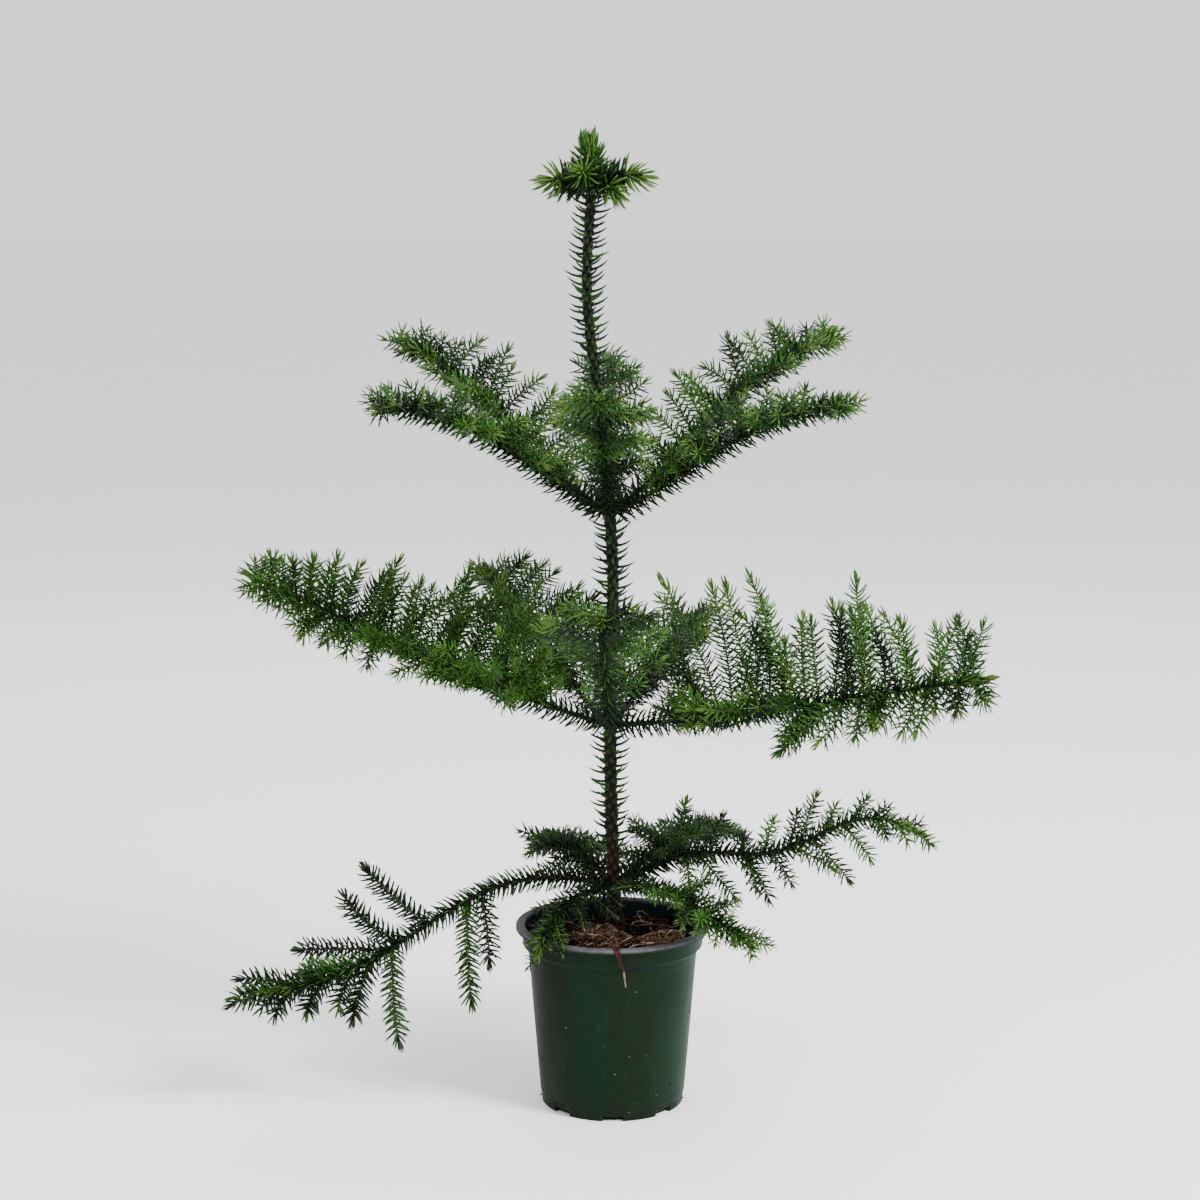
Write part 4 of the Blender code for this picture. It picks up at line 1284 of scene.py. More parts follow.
@dataclass(frozen=True)
class TwigRule:
    """How twigs stand on a stem: the same rule as the solids', with every twig."""

    last: float = 0.95
    root_fullness: float = 0.86
    staggers: Pair = (0.25, 0.75)
    overlap: float = 1.0
    splay_scatter: float = 14.0
    lift_scatter: float = 20.0
    lengths: Pair = (0.78, 1.12)
    place_scatter: float = 0.36
    bend_scatter: float = 0.24
    back_bend: float = 0.12
    side_gap: float = 0.006
    shortening: tuple = (1.0, 0.86, 0.72, 0.58, 0.44, 0.32)
    shortest: float = 0.01
    samples: int = 10
    room: Room = Room(0.006, 0.004, 0.004, 0.1535)

    def grow(self, branch: Branch, stem: Array, limits: Pair, trunk: TrunkLine, pot: NurseryPot,
             dice: np.random.Generator) -> Twigs:
        """Both rows of twigs of a branch.

        A twig's length is the row's full length times root_fullness plus its share of the
        stem, at most one, times what the branch's fading leaves of it. It leaves the stem at
        the splay angle, on a side that the row's lift turns up or down. It is shortened until
        it keeps to the branch's own space and clear of the pot, and left out where even a
        short one would not.

        Args:
            branch: the branch.
            stem: its stem's path.
            limits: degrees to the left and to the right that bound its space.
            trunk: the trunk.
            pot: the pot.
            dice: random numbers.

        Returns:
            The twigs.
        """
        rows = ((1.0, branch.left_length, branch.left_lift, branch.left_bare),
                (-1.0, branch.right_length, branch.right_lift, branch.right_bare))
        along_stem = unit(np.gradient(stem, axis=0))
        droop = 0.5 * math.tan(math.radians(branch.curl))
        count = branch.twigs
        made: list[tuple[Array, ...]] = []
        for (side, full_length, lifts, bare), stagger in zip(rows, self.staggers):
            jitter = dice.uniform(-1.0, 1.0, count) * self.place_scatter
            place = np.clip((np.arange(count) + stagger + jitter) / count, 0.0, 1.0)
            share = branch.first_twig + (self.last - branch.first_twig) * place**branch.crowding
            none = np.zeros(count, dtype=int)
            root = path_at(stem[None], none, share)
            along = unit(path_at(along_stem[None], none, share))
            across = unit(np.cross(UPWARD, along))
            upward = np.cross(along, across)
            length = full_length * (branch.tip_fullness + (1.0 - branch.tip_fullness)
                                    * (1.0 - share**branch.fading))
            length *= self.root_fullness + np.minimum(share, 1.0 - self.root_fullness)
            length *= dice.uniform(*self.lengths, count)
            length[(share > bare[0]) & (share < bare[1])] = 0.0
            scatter = dice.uniform(-1.0, 1.0, (2, count, 1))
            splay = np.radians(mix(branch.splay, share)[:, None] + self.splay_scatter * scatter[0])
            lift = np.radians(mix(lifts, share)[:, None] + self.lift_scatter * scatter[1])
            outward = np.cos(lift) * side * across + np.sin(lift) * upward
            heading = np.cos(splay) * along + np.sin(splay) * outward
            bend = along * (dice.uniform(-1.0, 1.0, (count, 1)) * self.bend_scatter
                            - self.back_bend)
            bend = bend + UPWARD * (droop + dice.uniform(-0.5, 0.5, (count, 1))
                                    * self.bend_scatter)
            made.append((root, heading, bend, length, along))
        root, heading, bend, length, along = (np.concatenate(part) for part in zip(*made))
        fits = np.zeros(len(length))
        for factor in self.shortening:
            trial = self.paths(root, heading, bend, length * factor)
            good = (self.clear(trial, branch, limits, trunk, pot)
                    & (length * factor > self.shortest))
            fits = np.where((fits == 0.0) & good, factor, fits)
        kept = fits > 0.0
        length = length * fits
        paths = self.paths(root, heading, bend, length)
        return Twigs(paths[kept], along[kept], length[kept])

    def paths(self, root: Array, heading: Array, bend: Array, length: Array) -> Array:
        """Twig centre lines: root plus length times s times heading plus s squared times bend."""
        s = np.linspace(0.0, 1.0, self.samples)[None, :, None]
        reach = length[:, None, None]
        return root[:, None] + reach * (s * heading[:, None] + s**2 * bend[:, None])

    def clear(self, paths: Array, branch: Branch, limits: Pair, trunk: TrunkLine,
              pot: NurseryPot) -> Array:
        """Whether each twig's tip keeps to its branch's space and the twig clears the pot."""
        tip = paths[:, -1] - trunk.centre(np.array(branch.height))
        radius = np.hypot(tip[:, 0], tip[:, 1])
        turn = np.degrees(np.arctan2(tip[:, 1], tip[:, 0])) - branch.azimuth
        turn = (turn + 180.0) % 360.0 - 180.0
        margin = np.degrees(self.side_gap / np.maximum(radius, self.side_gap))
        left, right = self.overlap * limits[0], self.overlap * limits[1]
        inside = (turn > margin - right) & (turn < left - margin)
        return inside & pot.is_clear(paths, self.room)


# Needles

@dataclass(frozen=True)
class Coat:
    """How needles clothe a limb: their spacing, size, stance and curve."""

    pitch: float
    length: float
    half_width: float
    angle: float
    curl: float
    tip_angle: float = 16.0
    closing: float = 0.84
    tip_length: float = 0.75
    angle_scatter: float = 8.0
    length_scatter: float = 0.14
    sides: int = 4
    spans: tuple = (0.0, 0.36, 0.74)
    widths: tuple = (1.0, 0.92, 0.6)
    flatness: Pair = (0.85, 1.15)
    sink: float = 0.4
    drift: float = 0.9
    room: Room = Room(0.004, 0.001, 0.001, 0.147)

    def stand(self, paths: Array, across: Array, upward: Array, lengths: Array, radii: Array,
              dice: np.random.Generator) -> "Needles":
        """Set needles on limbs along one spiral, a golden turn apart.

        Past the closing share the needles lean more and more along the limb, so that its end
        is a closed brush.

        Args:
            paths: limb centre lines, shaped (limbs, samples, 3).
            across: unit vectors square to them.
            upward: unit vectors square to both.
            lengths: limb lengths.
            radii: limb radius at the root and at the tip, shaped (limbs, 2).
            dice: random numbers.

        Returns:
            The needles.
        """
        counts = np.maximum(6, (lengths / self.pitch).astype(int))
        limb = np.repeat(np.arange(len(lengths)), counts)
        order = np.arange(len(limb)) - np.repeat(np.cumsum(counts) - counts, counts)
        share = (order + 0.5) / counts[limb]
        along = unit(path_at(np.gradient(paths, axis=1), limb, share))
        turn = 2.0 * np.pi * GOLDEN_TURN * order + self.drift * limb
        side = path_at(across, limb, share) * np.cos(turn)[:, None]
        outward = side + path_at(upward, limb, share) * np.sin(turn)[:, None]
        closing = smooth_step(self.closing, 1.0, share)
        scatter = dice.uniform(-1.0, 1.0, (2, len(limb)))
        angle = mix((self.angle, self.tip_angle), closing) + scatter[0] * self.angle_scatter
        length = self.length * mix((1.0, self.tip_length), closing)
        length = length * (1.0 + scatter[1] * self.length_scatter)
        radius = mix((radii[limb, 0], radii[limb, 1]), share)
        root = path_at(paths, limb, share) + outward * (radius * (1.0 - self.sink))[:, None]
        return Needles(self, root, along, unit(outward), length, angle, limb, share)


@dataclass(frozen=True)
class Needles:
    """Needles that stand on limbs, one row for each."""

    coat: Coat
    root: Array
    along: Array
    outward: Array
    length: Array
    angle: Array
    limb: Array
    share: Array

    def where(self, kept: Array) -> "Needles":
        """Those needles that are kept."""
        rows = ("root", "along", "outward", "length", "angle", "limb", "share")
        return replace(self, **{name: getattr(self, name)[kept] for name in rows})

    def line(self, s: Array) -> tuple[Array, Array]:
        """Points and directions of the middle lines at shares s of their length.

        The direction turns evenly from the needle's angle to the limb, at its root, to that
        angle less the curl, at its tip, so a point is the root plus length times (s times the
        first direction plus half s squared times the change).

        Args:
            s: shares, shaped (n,).

        Returns:
            Points and unit directions, shaped (needles, n, 3).
        """
        first, last = np.radians(self.angle), np.radians(self.angle - self.coat.curl)
        start = np.cos(first)[:, None] * self.along + np.sin(first)[:, None] * self.outward
        stop = np.cos(last)[:, None] * self.along + np.sin(last)[:, None] * self.outward
        s = s[None, :, None]
        change = (stop - start)[:, None]
        points = self.root[:, None] + self.length[:, None, None] * (
            s * start[:, None] + 0.5 * s**2 * change)
        return points, unit(start[:, None] + s * change)

    def bodies(self) -> tuple[Array, Array]:
        """Awls of a few sides, swollen at the root and drawn out to a point."""
        coat = self.coat
        centres, heading = self.line(np.array(coat.spans))
        tip, _ = self.line(np.array([1.0]))
        across = np.cross(self.along, self.outward)[:, None] + np.zeros_like(centres)
        upward = np.cross(heading, across)
        half = (np.array(coat.widths) * coat.half_width)[None, :, None]
        return sweep(centres, across * half * coat.flatness[0], upward * half * coat.flatness[1],
                     self.root, tip[:, 0], coat.sides)

    def clear_of(self, pot: NurseryPot) -> "Needles":
        """Those needles whose middle and tip are clear of the pot and its filling."""
        points, _ = self.line(np.array([0.5, 1.0]))
        return self.where(pot.is_clear(points, self.coat.room))


def deal(needles: Needles, sprays: dict[Tint, Piece], chosen: dict[Tint, Array]) -> None:
    """Add needles to the pieces of their tints.

    Args:
        needles: the needles.
        sprays: a piece for each tint.
        chosen: which of the needles have each tint.
    """
    for tint, these in chosen.items():
        if these.any():
            sprays[tint].add(*needles.where(these).bodies())


def cushions(turn: Array, count: Array) -> Array:
    """Relief of needle cushions, 1 on each needle's root and 0 in the grooves.

    Two families of spirals, three one way and five the other, cross at every needle. Each
    gives half of one plus the cosine of its phase, and the relief is their product.

    Args:
        turn: angle round the limb, in turns, from the first needle's.
        count: distance along the limb, in needle spacings.

    Returns:
        Relief, in the shape of the arguments together.
    """
    relief = np.ones(np.broadcast(turn, count).shape)
    for spirals in CUSHION_SPIRALS:
        drift = spirals * GOLDEN_TURN
        phase = spirals * turn - (drift - round(drift)) * count
        relief = relief * 0.5 * (1.0 + np.cos(2.0 * np.pi * phase))
    return relief


@dataclass(frozen=True)
class Limb:
    """A bark-covered limb with needle cushions in relief."""

    path: Array
    radii: Array
    pitch: float
    sides: int
    depth: float
    reference: Array

    def add_to(self, piece: Piece) -> None:
        """Sweep the limb's rough skin and add it to a piece.

        A ring's radius is the limb's times one plus depth times the relief less its mean.

        Args:
            piece: where it goes.
        """
        across, upward = frames(self.path[None], self.reference)
        first_needle, mean = 1.2, 0.25
        count = distances(self.path) / self.pitch
        turn = np.arange(self.sides) / self.sides
        relief = cushions(turn[None], count[:, None] + first_needle)
        radius = self.radii[:, None] * (1.0 + self.depth * (relief - mean))
        angle = 2.0 * np.pi * turn
        skin = (self.path[:, None] + across[0][:, None] * (radius * np.cos(angle))[..., None]
                + upward[0][:, None] * (radius * np.sin(angle))[..., None])
        points = np.concatenate([skin.reshape(-1, 3), self.path[:1], self.path[-1:]])
        shade = np.concatenate([relief.ravel(), [0.5, 0.5]])
        piece.add(points, body_triangles(1, len(self.path), self.sides), shade)


# Plant

@dataclass(frozen=True)
class Wardrobe:
    """Finishes that the whole plant shares."""

    needles: dict[Tint, bpy.types.Material]
    trunk: bpy.types.Material
    bough: bpy.types.Material
    twig: bpy.types.Material
    bud: bpy.types.Material

    @staticmethod
    def build(effects: Effects) -> "Wardrobe":
        """Make the finishes from the shared effects."""
        needles = {
            Tint.SHADED: NeedleFinish("shaded_needles", (0.0008, 0.0046, 0.0006),
                                      (0.0038, 0.0175, 0.0021)),
            Tint.GREEN: NeedleFinish("green_needles", (0.0036, 0.02, 0.0017),
                                     (0.018, 0.07, 0.0068)),
            Tint.BRIGHT: NeedleFinish("bright_needles", (0.013, 0.051, 0.0042),
                                      (0.05, 0.142, 0.0165)),
            Tint.FRESH: NeedleFinish("fresh_needles", (0.02, 0.066, 0.0052),
                                     (0.072, 0.15, 0.02)),
        }
        trunk = BarkFinish("trunk_bark", (0.0022, 0.0028, 0.0015), (0.011, 0.021, 0.005),
                           (0.03, 0.012, 0.0065), 0.195, 0.29)
        bough = BarkFinish("bough_bark", (0.0022, 0.0032, 0.0015), (0.011, 0.021, 0.005),
                           (0.018, 0.011, 0.0055), 0.15, 0.23)
        twig = NeedleFinish("twig_skin", (0.026, 0.05, 0.006), (0.07, 0.105, 0.016), 0.6)
        bud = NeedleFinish("bud_scales", (0.034, 0.05, 0.009), (0.1, 0.105, 0.024), 0.55)
        return Wardrobe({tint: finish.build(effects) for tint, finish in needles.items()},
                        trunk.build(effects), bough.build(effects), twig.build(effects),
                        bud.build(effects))

    def dress(self, sprays: dict[Tint, Piece], *replaced: str) -> None:
        """Finish pieces of needles, each in its tint."""
        for tint, piece in sprays.items():
            piece.finish(self.needles[tint], *replaced)


@dataclass(frozen=True)
class Trunk:
    """The trunk with its bark relief and the long needles that stand on it."""

    line: TrunkLine
    ring_step: float = 0.00105
    sides: int = 30
    pitch: float = 0.00138
    relief_depth: float = 0.38
    coat: Coat = Coat(pitch=0.00138, length=0.017, half_width=0.00108, angle=88.0, curl=44.0,
                      angle_scatter=9.0, closing=0.999, sides=6,
                      spans=(0.0, 0.12, 0.32, 0.56, 0.8), widths=(1.75, 1.15, 0.95, 0.78, 0.48),
                      sink=0.25)
    needles_from: float = 0.215
    needles_to: float = 0.772
    node_gap: float = 0.007
    into_soil: float = 0.004
    shaded: float = 0.72

    def build(self, wardrobe: Wardrobe) -> None:
        """Make the bark and the needles.

        Args:
            wardrobe: the plant's finishes.
        """
        heights = np.arange(self.line.foot_z - self.into_soil, self.line.tip_z, self.ring_step)
        path = self.line.centre(heights)
        bark = Piece("trunk_bark", Slot.BARK)
        Limb(path, self.line.radius(np.maximum(heights, self.line.foot_z)), self.pitch, self.sides,
             self.relief_depth, BACKWARD).add_to(bark)
        bark.finish(wardrobe.trunk, "trunk")
        dice = np.random.default_rng([SEED, 3])
        heights = np.linspace(self.needles_from, self.needles_to, 300)
        paths = self.line.centre(heights)[None]
        across, upward = frames(paths, BACKWARD)
        radii = self.line.radius(np.array([[self.needles_from, self.needles_to]]))
        lengths = np.array([self.needles_to - self.needles_from])
        needles = self.coat.stand(paths, across, upward, lengths, radii, dice)
        away = np.abs(needles.root[:, 2, None] - np.array(self.line.whorls)).min(axis=1)
        needles = needles.where(away > self.node_gap)
        shaded = dice.uniform(0.0, 1.0, len(needles.length)) < self.shaded
        sprays = {tint: Piece(f"trunk_{tint.value}_needles", Slot.NEEDLES)
                  for tint in (Tint.SHADED, Tint.GREEN)}
        deal(needles, sprays, {Tint.SHADED: shaded, Tint.GREEN: ~shaded})
        wardrobe.dress(sprays, "trunk")


@dataclass(frozen=True)
class Whorl:
    """One whorl: its boughs and stems, its twigs, and all of their needles."""

    name: str
    branches: tuple[Branch, ...]
    trunk: TrunkLine
    pot: NurseryPot
    rule: TwigRule = TwigRule()
    bough_length: float = 0.038
    root_radius: float = 0.0024
    bough_radius: float = 0.0019
    tip_radius: float = 0.0009
    root_flare: float = 0.001
    into_trunk: float = 0.0025
    twig_radii: Pair = (0.0009, 0.0005)
    tip_room: float = 0.006
    ring_step: float = 0.0013
    bough_sides: int = 11
    stem_coat: Coat = Coat(pitch=0.00072, length=0.014, half_width=0.00076, angle=76.0, curl=26.0,
                           angle_scatter=11.0, widths=(1.2, 1.0, 0.8))
    twig_coat: Coat = Coat(pitch=0.00088, length=0.0142, half_width=0.00074, angle=72.0, curl=30.0,
                           sides=3, angle_scatter=7.0, widths=(1.0, 1.0, 0.82))
    relief_depth: float = 0.24
    flare_fade: float = 0.0035
    stem_fresh: Pair = (0.9, 0.6)
    fresh_waver: float = 0.05
    stem_bright: float = 0.5
    twig_fresh: Pair = (0.74, 0.9)
    bud_length: float = 0.0048
    bud_radius: float = 0.001

    def limits(self, branch: Branch) -> Pair:
        """Degrees to the left and right of a branch, half way to its neighbours."""
        others = [other.azimuth for other in self.branches if other.name != branch.name]
        left = min((other - branch.azimuth) % 360.0 for other in others)
        right = min((branch.azimuth - other) % 360.0 for other in others)
        return 0.5 * left, 0.5 * right

    def stem_radii(self, travelled: Array) -> Array:
        """Radius along a stem: a flared root, the bough's taper, then the stem's to its tip."""
        share = travelled / travelled[-1]
        bough = min(self.bough_length / travelled[-1], 0.5)
        radius = np.interp(share, [0.0, bough, 1.0],
                           [self.root_radius, self.bough_radius, self.tip_radius])
        return radius + self.root_flare * np.exp(-travelled / self.flare_fade)

    def build(self, wardrobe: Wardrobe) -> None:
        """Make all of the whorl's pieces.

        Args:
            wardrobe: the plant's finishes.
        """
        boughs = Piece(f"{self.name}_boughs", Slot.GREEN_BARK)
        twig_wood = Piece(f"{self.name}_twigs", Slot.GREEN_BARK)
        buds = Piece(f"{self.name}_buds", Slot.FRESH)
        sprays = {tint: Piece(f"{self.name}_{tint.value}_needles",
                              Slot.FRESH if tint is Tint.FRESH else Slot.NEEDLES)
                  for tint in Tint}
        for number, branch in enumerate(self.branches):
            dice = np.random.default_rng([SEED, round(1000 * branch.height), number])
            stem = branch.stem(self.trunk)
            self.add_stem(branch, stem, boughs, sprays, buds, dice)
            if branch.twigs:
                self.add_twigs(branch, stem, twig_wood, sprays, buds, dice)
        masses = [branch.mass for branch in self.branches]
        limbs = [f"{branch.name}_bough" for branch in self.branches if branch.twigs]
        boughs.finish(wardrobe.bough, *(limbs or masses))
        twig_wood.finish(wardrobe.twig, *masses)
        buds.finish(wardrobe.bud, *masses)
        wardrobe.dress(sprays, *masses)

    def add_stem(self, branch: Branch, stem: Array, boughs: Piece, sprays: dict[Tint, Piece],
                 buds: Piece, dice: np.random.Generator) -> None:
        """Bough and stem in one limb, clothed in needles to its tip.

        Args:
            branch: the branch.
            stem: its stem's path.
            boughs: piece for the limb.
            sprays: pieces for the needles.
            buds: piece for the bud at the tip.
            dice: random numbers.
        """
        inward = stem[0] - unit(stem[1] - stem[0]) * self.into_trunk
        length = distances(stem)[-1]
        kept = stem[:max(8, int(PATH_SAMPLES * (1.0 - self.tip_room / length)))]
        whole = np.concatenate([inward[None], kept])
        travelled = distances(whole)
        even = np.arange(0.0, travelled[-1], self.ring_step)
        path = np.stack([np.interp(even, travelled, whole[:, k]) for k in range(3)], axis=1)
        radii = self.stem_radii(even)
        Limb(path, radii, self.stem_coat.pitch, self.bough_sides, self.relief_depth,
             UPWARD).add_to(boughs)
        across, upward = frames(kept[None], UPWARD)
        ends = self.stem_radii(distances(kept))[[0, -1]][None]
        needles = self.stem_coat.stand(kept[None], across, upward, distances(kept)[-1:], ends,
                                       dice)
        needles = needles.clear_of(self.pot)
        fresh_from = self.stem_fresh[0] if branch.twigs else self.stem_fresh[1]
        wavering = self.fresh_waver * dice.uniform(-1.0, 1.0, len(needles.share))
        fresh = needles.share > fresh_from + wavering
        # needles near the trunk get the shaded tint more often: painted shade, and partly the
        # darker green of older needles
        bright = dice.uniform(0.0, 1.0, len(needles.share)) < needles.share * self.stem_bright
        deal(needles, sprays, {Tint.FRESH: fresh, Tint.GREEN: bright & ~fresh,
                               Tint.SHADED: ~bright & ~fresh})
        self.add_buds(kept[None], buds)

    def add_twigs(self, branch: Branch, stem: Array, wood: Piece, sprays: dict[Tint, Piece],
                  buds: Piece, dice: np.random.Generator) -> None:
        """All twigs of a branch, each a spray of needles in its own tint.

        Args:
            branch: the branch.
            stem: its stem's path.
            wood: piece for the twigs' skins.
            sprays: pieces for the needles.
            buds: piece for the buds.
            dice: random numbers.
        """
        twigs = self.rule.grow(branch, stem, self.limits(branch), self.trunk, self.pot, dice)
        count = len(twigs.lengths)
        across, upward = frames(twigs.paths, twigs.stems[:, None])
        s = np.linspace(0.0, 1.0, twigs.paths.shape[1])[None, :, None]
        half = mix(self.twig_radii, s) * np.ones((count, 1, 1))
        wood.add(*sweep(twigs.paths, across * half, upward * half, twigs.paths[:, 0],
                        twigs.paths[:, -1], 5))
        radii = np.tile(np.array(self.twig_radii), (count, 1))
        size = branch.needle_size
        coat = replace(self.twig_coat, length=size * self.twig_coat.length,
                       half_width=size * self.twig_coat.half_width)
        needles = coat.stand(twigs.paths, across, upward, twigs.lengths, radii, dice)
        needles = needles.clear_of(self.pot)
        draw = dice.uniform(0.0, 1.0, count)
        shaded, bright = draw < branch.shaded, draw > 1.0 - branch.bright
        never = 2.0
        fresh_from = np.where(dice.uniform(0.0, 1.0, count) < branch.fresh,
                              dice.uniform(*self.twig_fresh, count), never)
        fresh = needles.share > fresh_from[needles.limb]
        tints = {Tint.SHADED: shaded, Tint.GREEN: ~shaded & ~bright,
                 Tint.BRIGHT: bright & ~shaded}
        chosen = {tint: these[needles.limb] & ~fresh for tint, these in tints.items()}
        deal(needles, sprays, {**chosen, Tint.FRESH: fresh})
        self.add_buds(twigs.paths, buds)

    def add_buds(self, paths: Array, buds: Piece) -> None:
        """A pointed bud at the end of every limb.

        Args:
            paths: limb centre lines.
            buds: piece for the buds.
        """
        tip = paths[:, -1]
        along = unit(paths[:, -1] - paths[:, -2])
        reference = unit(np.cross(along, SKEW))
        upward = np.cross(along, reference)
        s = np.array([0.0, 0.35, 0.7])[None, :, None]
        half = np.array([0.6, 1.0, 0.6])[None, :, None] * self.bud_radius
        centres = tip[:, None] + along[:, None] * self.bud_length * s
        ones = np.ones_like(centres)
        buds.add(*sweep(centres, ones * reference[:, None] * half, ones * upward[:, None] * half,
                        tip - along * 0.0005, tip + along * self.bud_length, 6))


@dataclass(frozen=True)
class Leader:
    """The growing tip: a short stem in a dense brush of upright needles."""

    trunk: TrunkLine
    top_z: float = 0.823
    root_z: float = 0.77
    brush: Coat = Coat(pitch=0.0002, length=0.019, half_width=0.00094, angle=84.0, curl=42.0,
                       tip_angle=38.0, closing=0.45, tip_length=0.8, angle_scatter=9.0, sides=5,
                       spans=(0.0, 0.22, 0.5, 0.78), widths=(1.2, 1.0, 0.94, 0.7))
    stem_radii: Pair = (0.0024, 0.0018)
    needle_room: float = 0.0128
    fresh: float = 0.25
    bright: float = 0.35

    def build(self, wardrobe: Wardrobe) -> None:
        """Make the stem and its brush of needles.

        Args:
            wardrobe: the plant's finishes.
        """
        heights = np.linspace(self.root_z, self.top_z - self.needle_room, 24)
        path = self.trunk.centre(heights)
        across, upward = frames(path[None], BACKWARD)
        taper = np.linspace(*self.stem_radii, len(heights))[None, :, None]
        stem = Piece("leader_stem", Slot.GREEN_BARK)
        stem.add(*sweep(path[None], across * taper, upward * taper, path[:1], path[-1:], 10))
        stem.finish(wardrobe.twig, "leader_tip")
        dice = np.random.default_rng([SEED, 4])
        ends = np.array([self.stem_radii])
        needles = self.brush.stand(path[None], across, upward, distances(path)[-1:], ends, dice)
        draw = dice.uniform(0.0, 1.0, len(needles.share))
        fresh, bright = draw < self.fresh, draw < self.fresh + self.bright
        chosen = {Tint.FRESH: fresh, Tint.BRIGHT: bright & ~fresh, Tint.GREEN: ~bright}
        sprays = {tint: Piece(f"leader_{tint.value}_needles", Slot.FRESH) for tint in chosen}
        deal(needles, sprays, chosen)
        wardrobe.dress(sprays, "leader_tip")


@dataclass(frozen=True)
class Plant:
    """The whole tree: trunk, three whorls of boughs, a whorl of new shoots, and the leader."""

    pot: NurseryPot
    line: TrunkLine = TrunkLine()

    def middle(self) -> tuple[Branch, ...]:
        """Branches of the widest whorl."""
        base = Branch("middle", 0.328, root_slope=12.0, tip_slope=14.0, splay=(106.0, 56.0),
                      shaded=0.26, bright=0.26, fresh=0.6)
        return (
            base.at("right", azimuth=-24.0, reach=0.337, rise=0.067, root_slope=7.0,
                    tip_slope=12.0, twigs=30, left_length=0.11, right_length=0.074,
                    left_lift=(56.0, 66.0), right_lift=(52.0, -56.0), splay=(118.0, 70.0),
                    fading=2.2, crowding=1.1, shaded=0.2, bright=0.34),
            base.at("back_right", azimuth=70.0, reach=0.24, rise=0.058, twigs=14,
                    left_length=0.066, right_length=0.06),
            base.at("back", azimuth=114.0, reach=0.28, rise=0.092, twigs=18, left_length=0.072,
                    right_length=0.072, left_lift=(50.0, 25.0), right_lift=(50.0, 25.0)),
            # the left bough, away from the key lamp, has mostly bright sprays: painted light
            base.at("left", azimuth=160.0, reach=0.352, rise=0.115, tip_slope=20.0, twigs=46,
                    left_length=0.084, right_length=0.102, left_lift=(54.0, -44.0),
                    right_lift=(60.0, 66.0), fading=1.6, tip_fullness=0.08, crowding=1.25,
                    shaded=0.0, bright=0.72),
            base.at("front", azimuth=-92.0, reach=0.222, rise=0.136, root_slope=30.0,
                    tip_slope=30.0, left_length=0.064, right_length=0.064, shaded=0.12,
                    bright=0.44),
        )

    def upper(self) -> tuple[Branch, ...]:
        """Branches of the whorl over it, rising like a bowl."""
        base = Branch("upper", 0.508, twigs=17, left_length=0.055, right_length=0.055,
                      shaded=0.24, bright=0.3, fresh=0.66)
        return (
            base.at("right", azimuth=-28.0, reach=0.221, rise=0.094, root_slope=26.0,
                    left_lift=(42.0, 14.0), right_lift=(35.0, 0.0)),
            base.at("back_right", azimuth=32.0, reach=0.237, rise=0.146, root_slope=33.0,
                    tip_slope=16.0, left_lift=(54.0, 16.0), right_lift=(35.0, -12.0)),
            base.at("back", azimuth=90.0, reach=0.205, rise=0.12, root_slope=34.0,
                    tip_slope=14.0, twigs=11, tip_fullness=0.15, left_lift=(16.0, -18.0),
                    right_lift=(16.0, -18.0)),
            base.at("back_left", azimuth=148.0, reach=0.224, rise=0.138, root_slope=28.0,
                    tip_slope=14.0, left_lift=(35.0, -12.0), right_lift=(54.0, 16.0)),
            base.at("left", azimuth=-152.0, reach=0.215, rise=0.095, root_slope=30.0,
                    tip_slope=2.0, left_lift=(35.0, 0.0), right_lift=(42.0, 14.0)),
            base.at("front", azimuth=-93.0, reach=0.2, rise=0.112, root_slope=34.0,
                    tip_slope=14.0, twigs=10, left_length=0.048, right_length=0.048,
                    left_lift=(15.0, -15.0), right_lift=(15.0, -15.0)),
        )

    def lower(self) -> tuple[Branch, ...]:
        """Branches of the old, drooping whorl over the pot."""
        # the low whorl, under the others, has many shaded sprays: painted shade, and partly the
        # darker green of old needles
        base = Branch("lower", 0.19, root_slope=14.0, tip_slope=-22.0, twigs=14,
                      left_length=0.046, right_length=0.046, left_lift=(10.0, 0.0),
                      right_lift=(10.0, 0.0), splay=(86.0, 44.0), curl=-14.0, first_twig=0.14,
                      shaded=0.72, fresh=0.14)
        return (
            base.at("left", azimuth=-170.0, reach=0.308, rise=-0.08, root_slope=4.0,
                    tip_slope=-12.0, wave=0.01, twigs=9, left_length=0.09, right_length=0.116,
                    left_lift=(-100.0, -66.0), right_lift=(52.0, 48.0), splay=(118.0, 2.0),
                    first_twig=0.17, fading=3.0, tip_fullness=0.16, crowding=0.56,
                    left_bare=(0.45, 0.55), right_bare=(0.0, 0.48), needle_size=1.06,
                    shaded=0.5, bright=0.12),
            base.at("right", azimuth=8.0, reach=0.276, rise=0.028, root_slope=10.0,
                    tip_slope=-18.0, wave=0.01, wave_turns=1.5, twigs=11, left_length=0.052,
                    right_length=0.058, left_lift=(62.0, 24.0), right_lift=(-60.0, -24.0),
                    curl=-8.0, needle_size=0.85, shaded=0.5, bright=0.12),
            base.at("back_right", azimuth=55.0, reach=0.186, rise=0.008, left_length=0.052,
                    right_length=0.052, needle_size=0.82, shaded=0.44, bright=0.14),
            base.at("back_left", azimuth=118.0, reach=0.145, rise=0.004, needle_size=0.82,
                    shaded=0.44, bright=0.14),
            base.at("front_left", azimuth=-129.0, height=0.187, reach=0.102, rise=-0.042,
                    root_slope=12.0, tip_slope=-74.0, twigs=7, left_length=0.042,
                    right_length=0.036, splay=(74.0, 40.0), first_twig=0.06, needle_size=0.66,
                    bright=0.0, fresh=0.04),
            base.at("front_right", azimuth=-40.0, reach=0.152, rise=-0.03, root_slope=12.0,
                    twigs=15, first_twig=0.06, needle_size=0.72, shaded=0.3, bright=0.46,
                    fresh=0.22),
        )

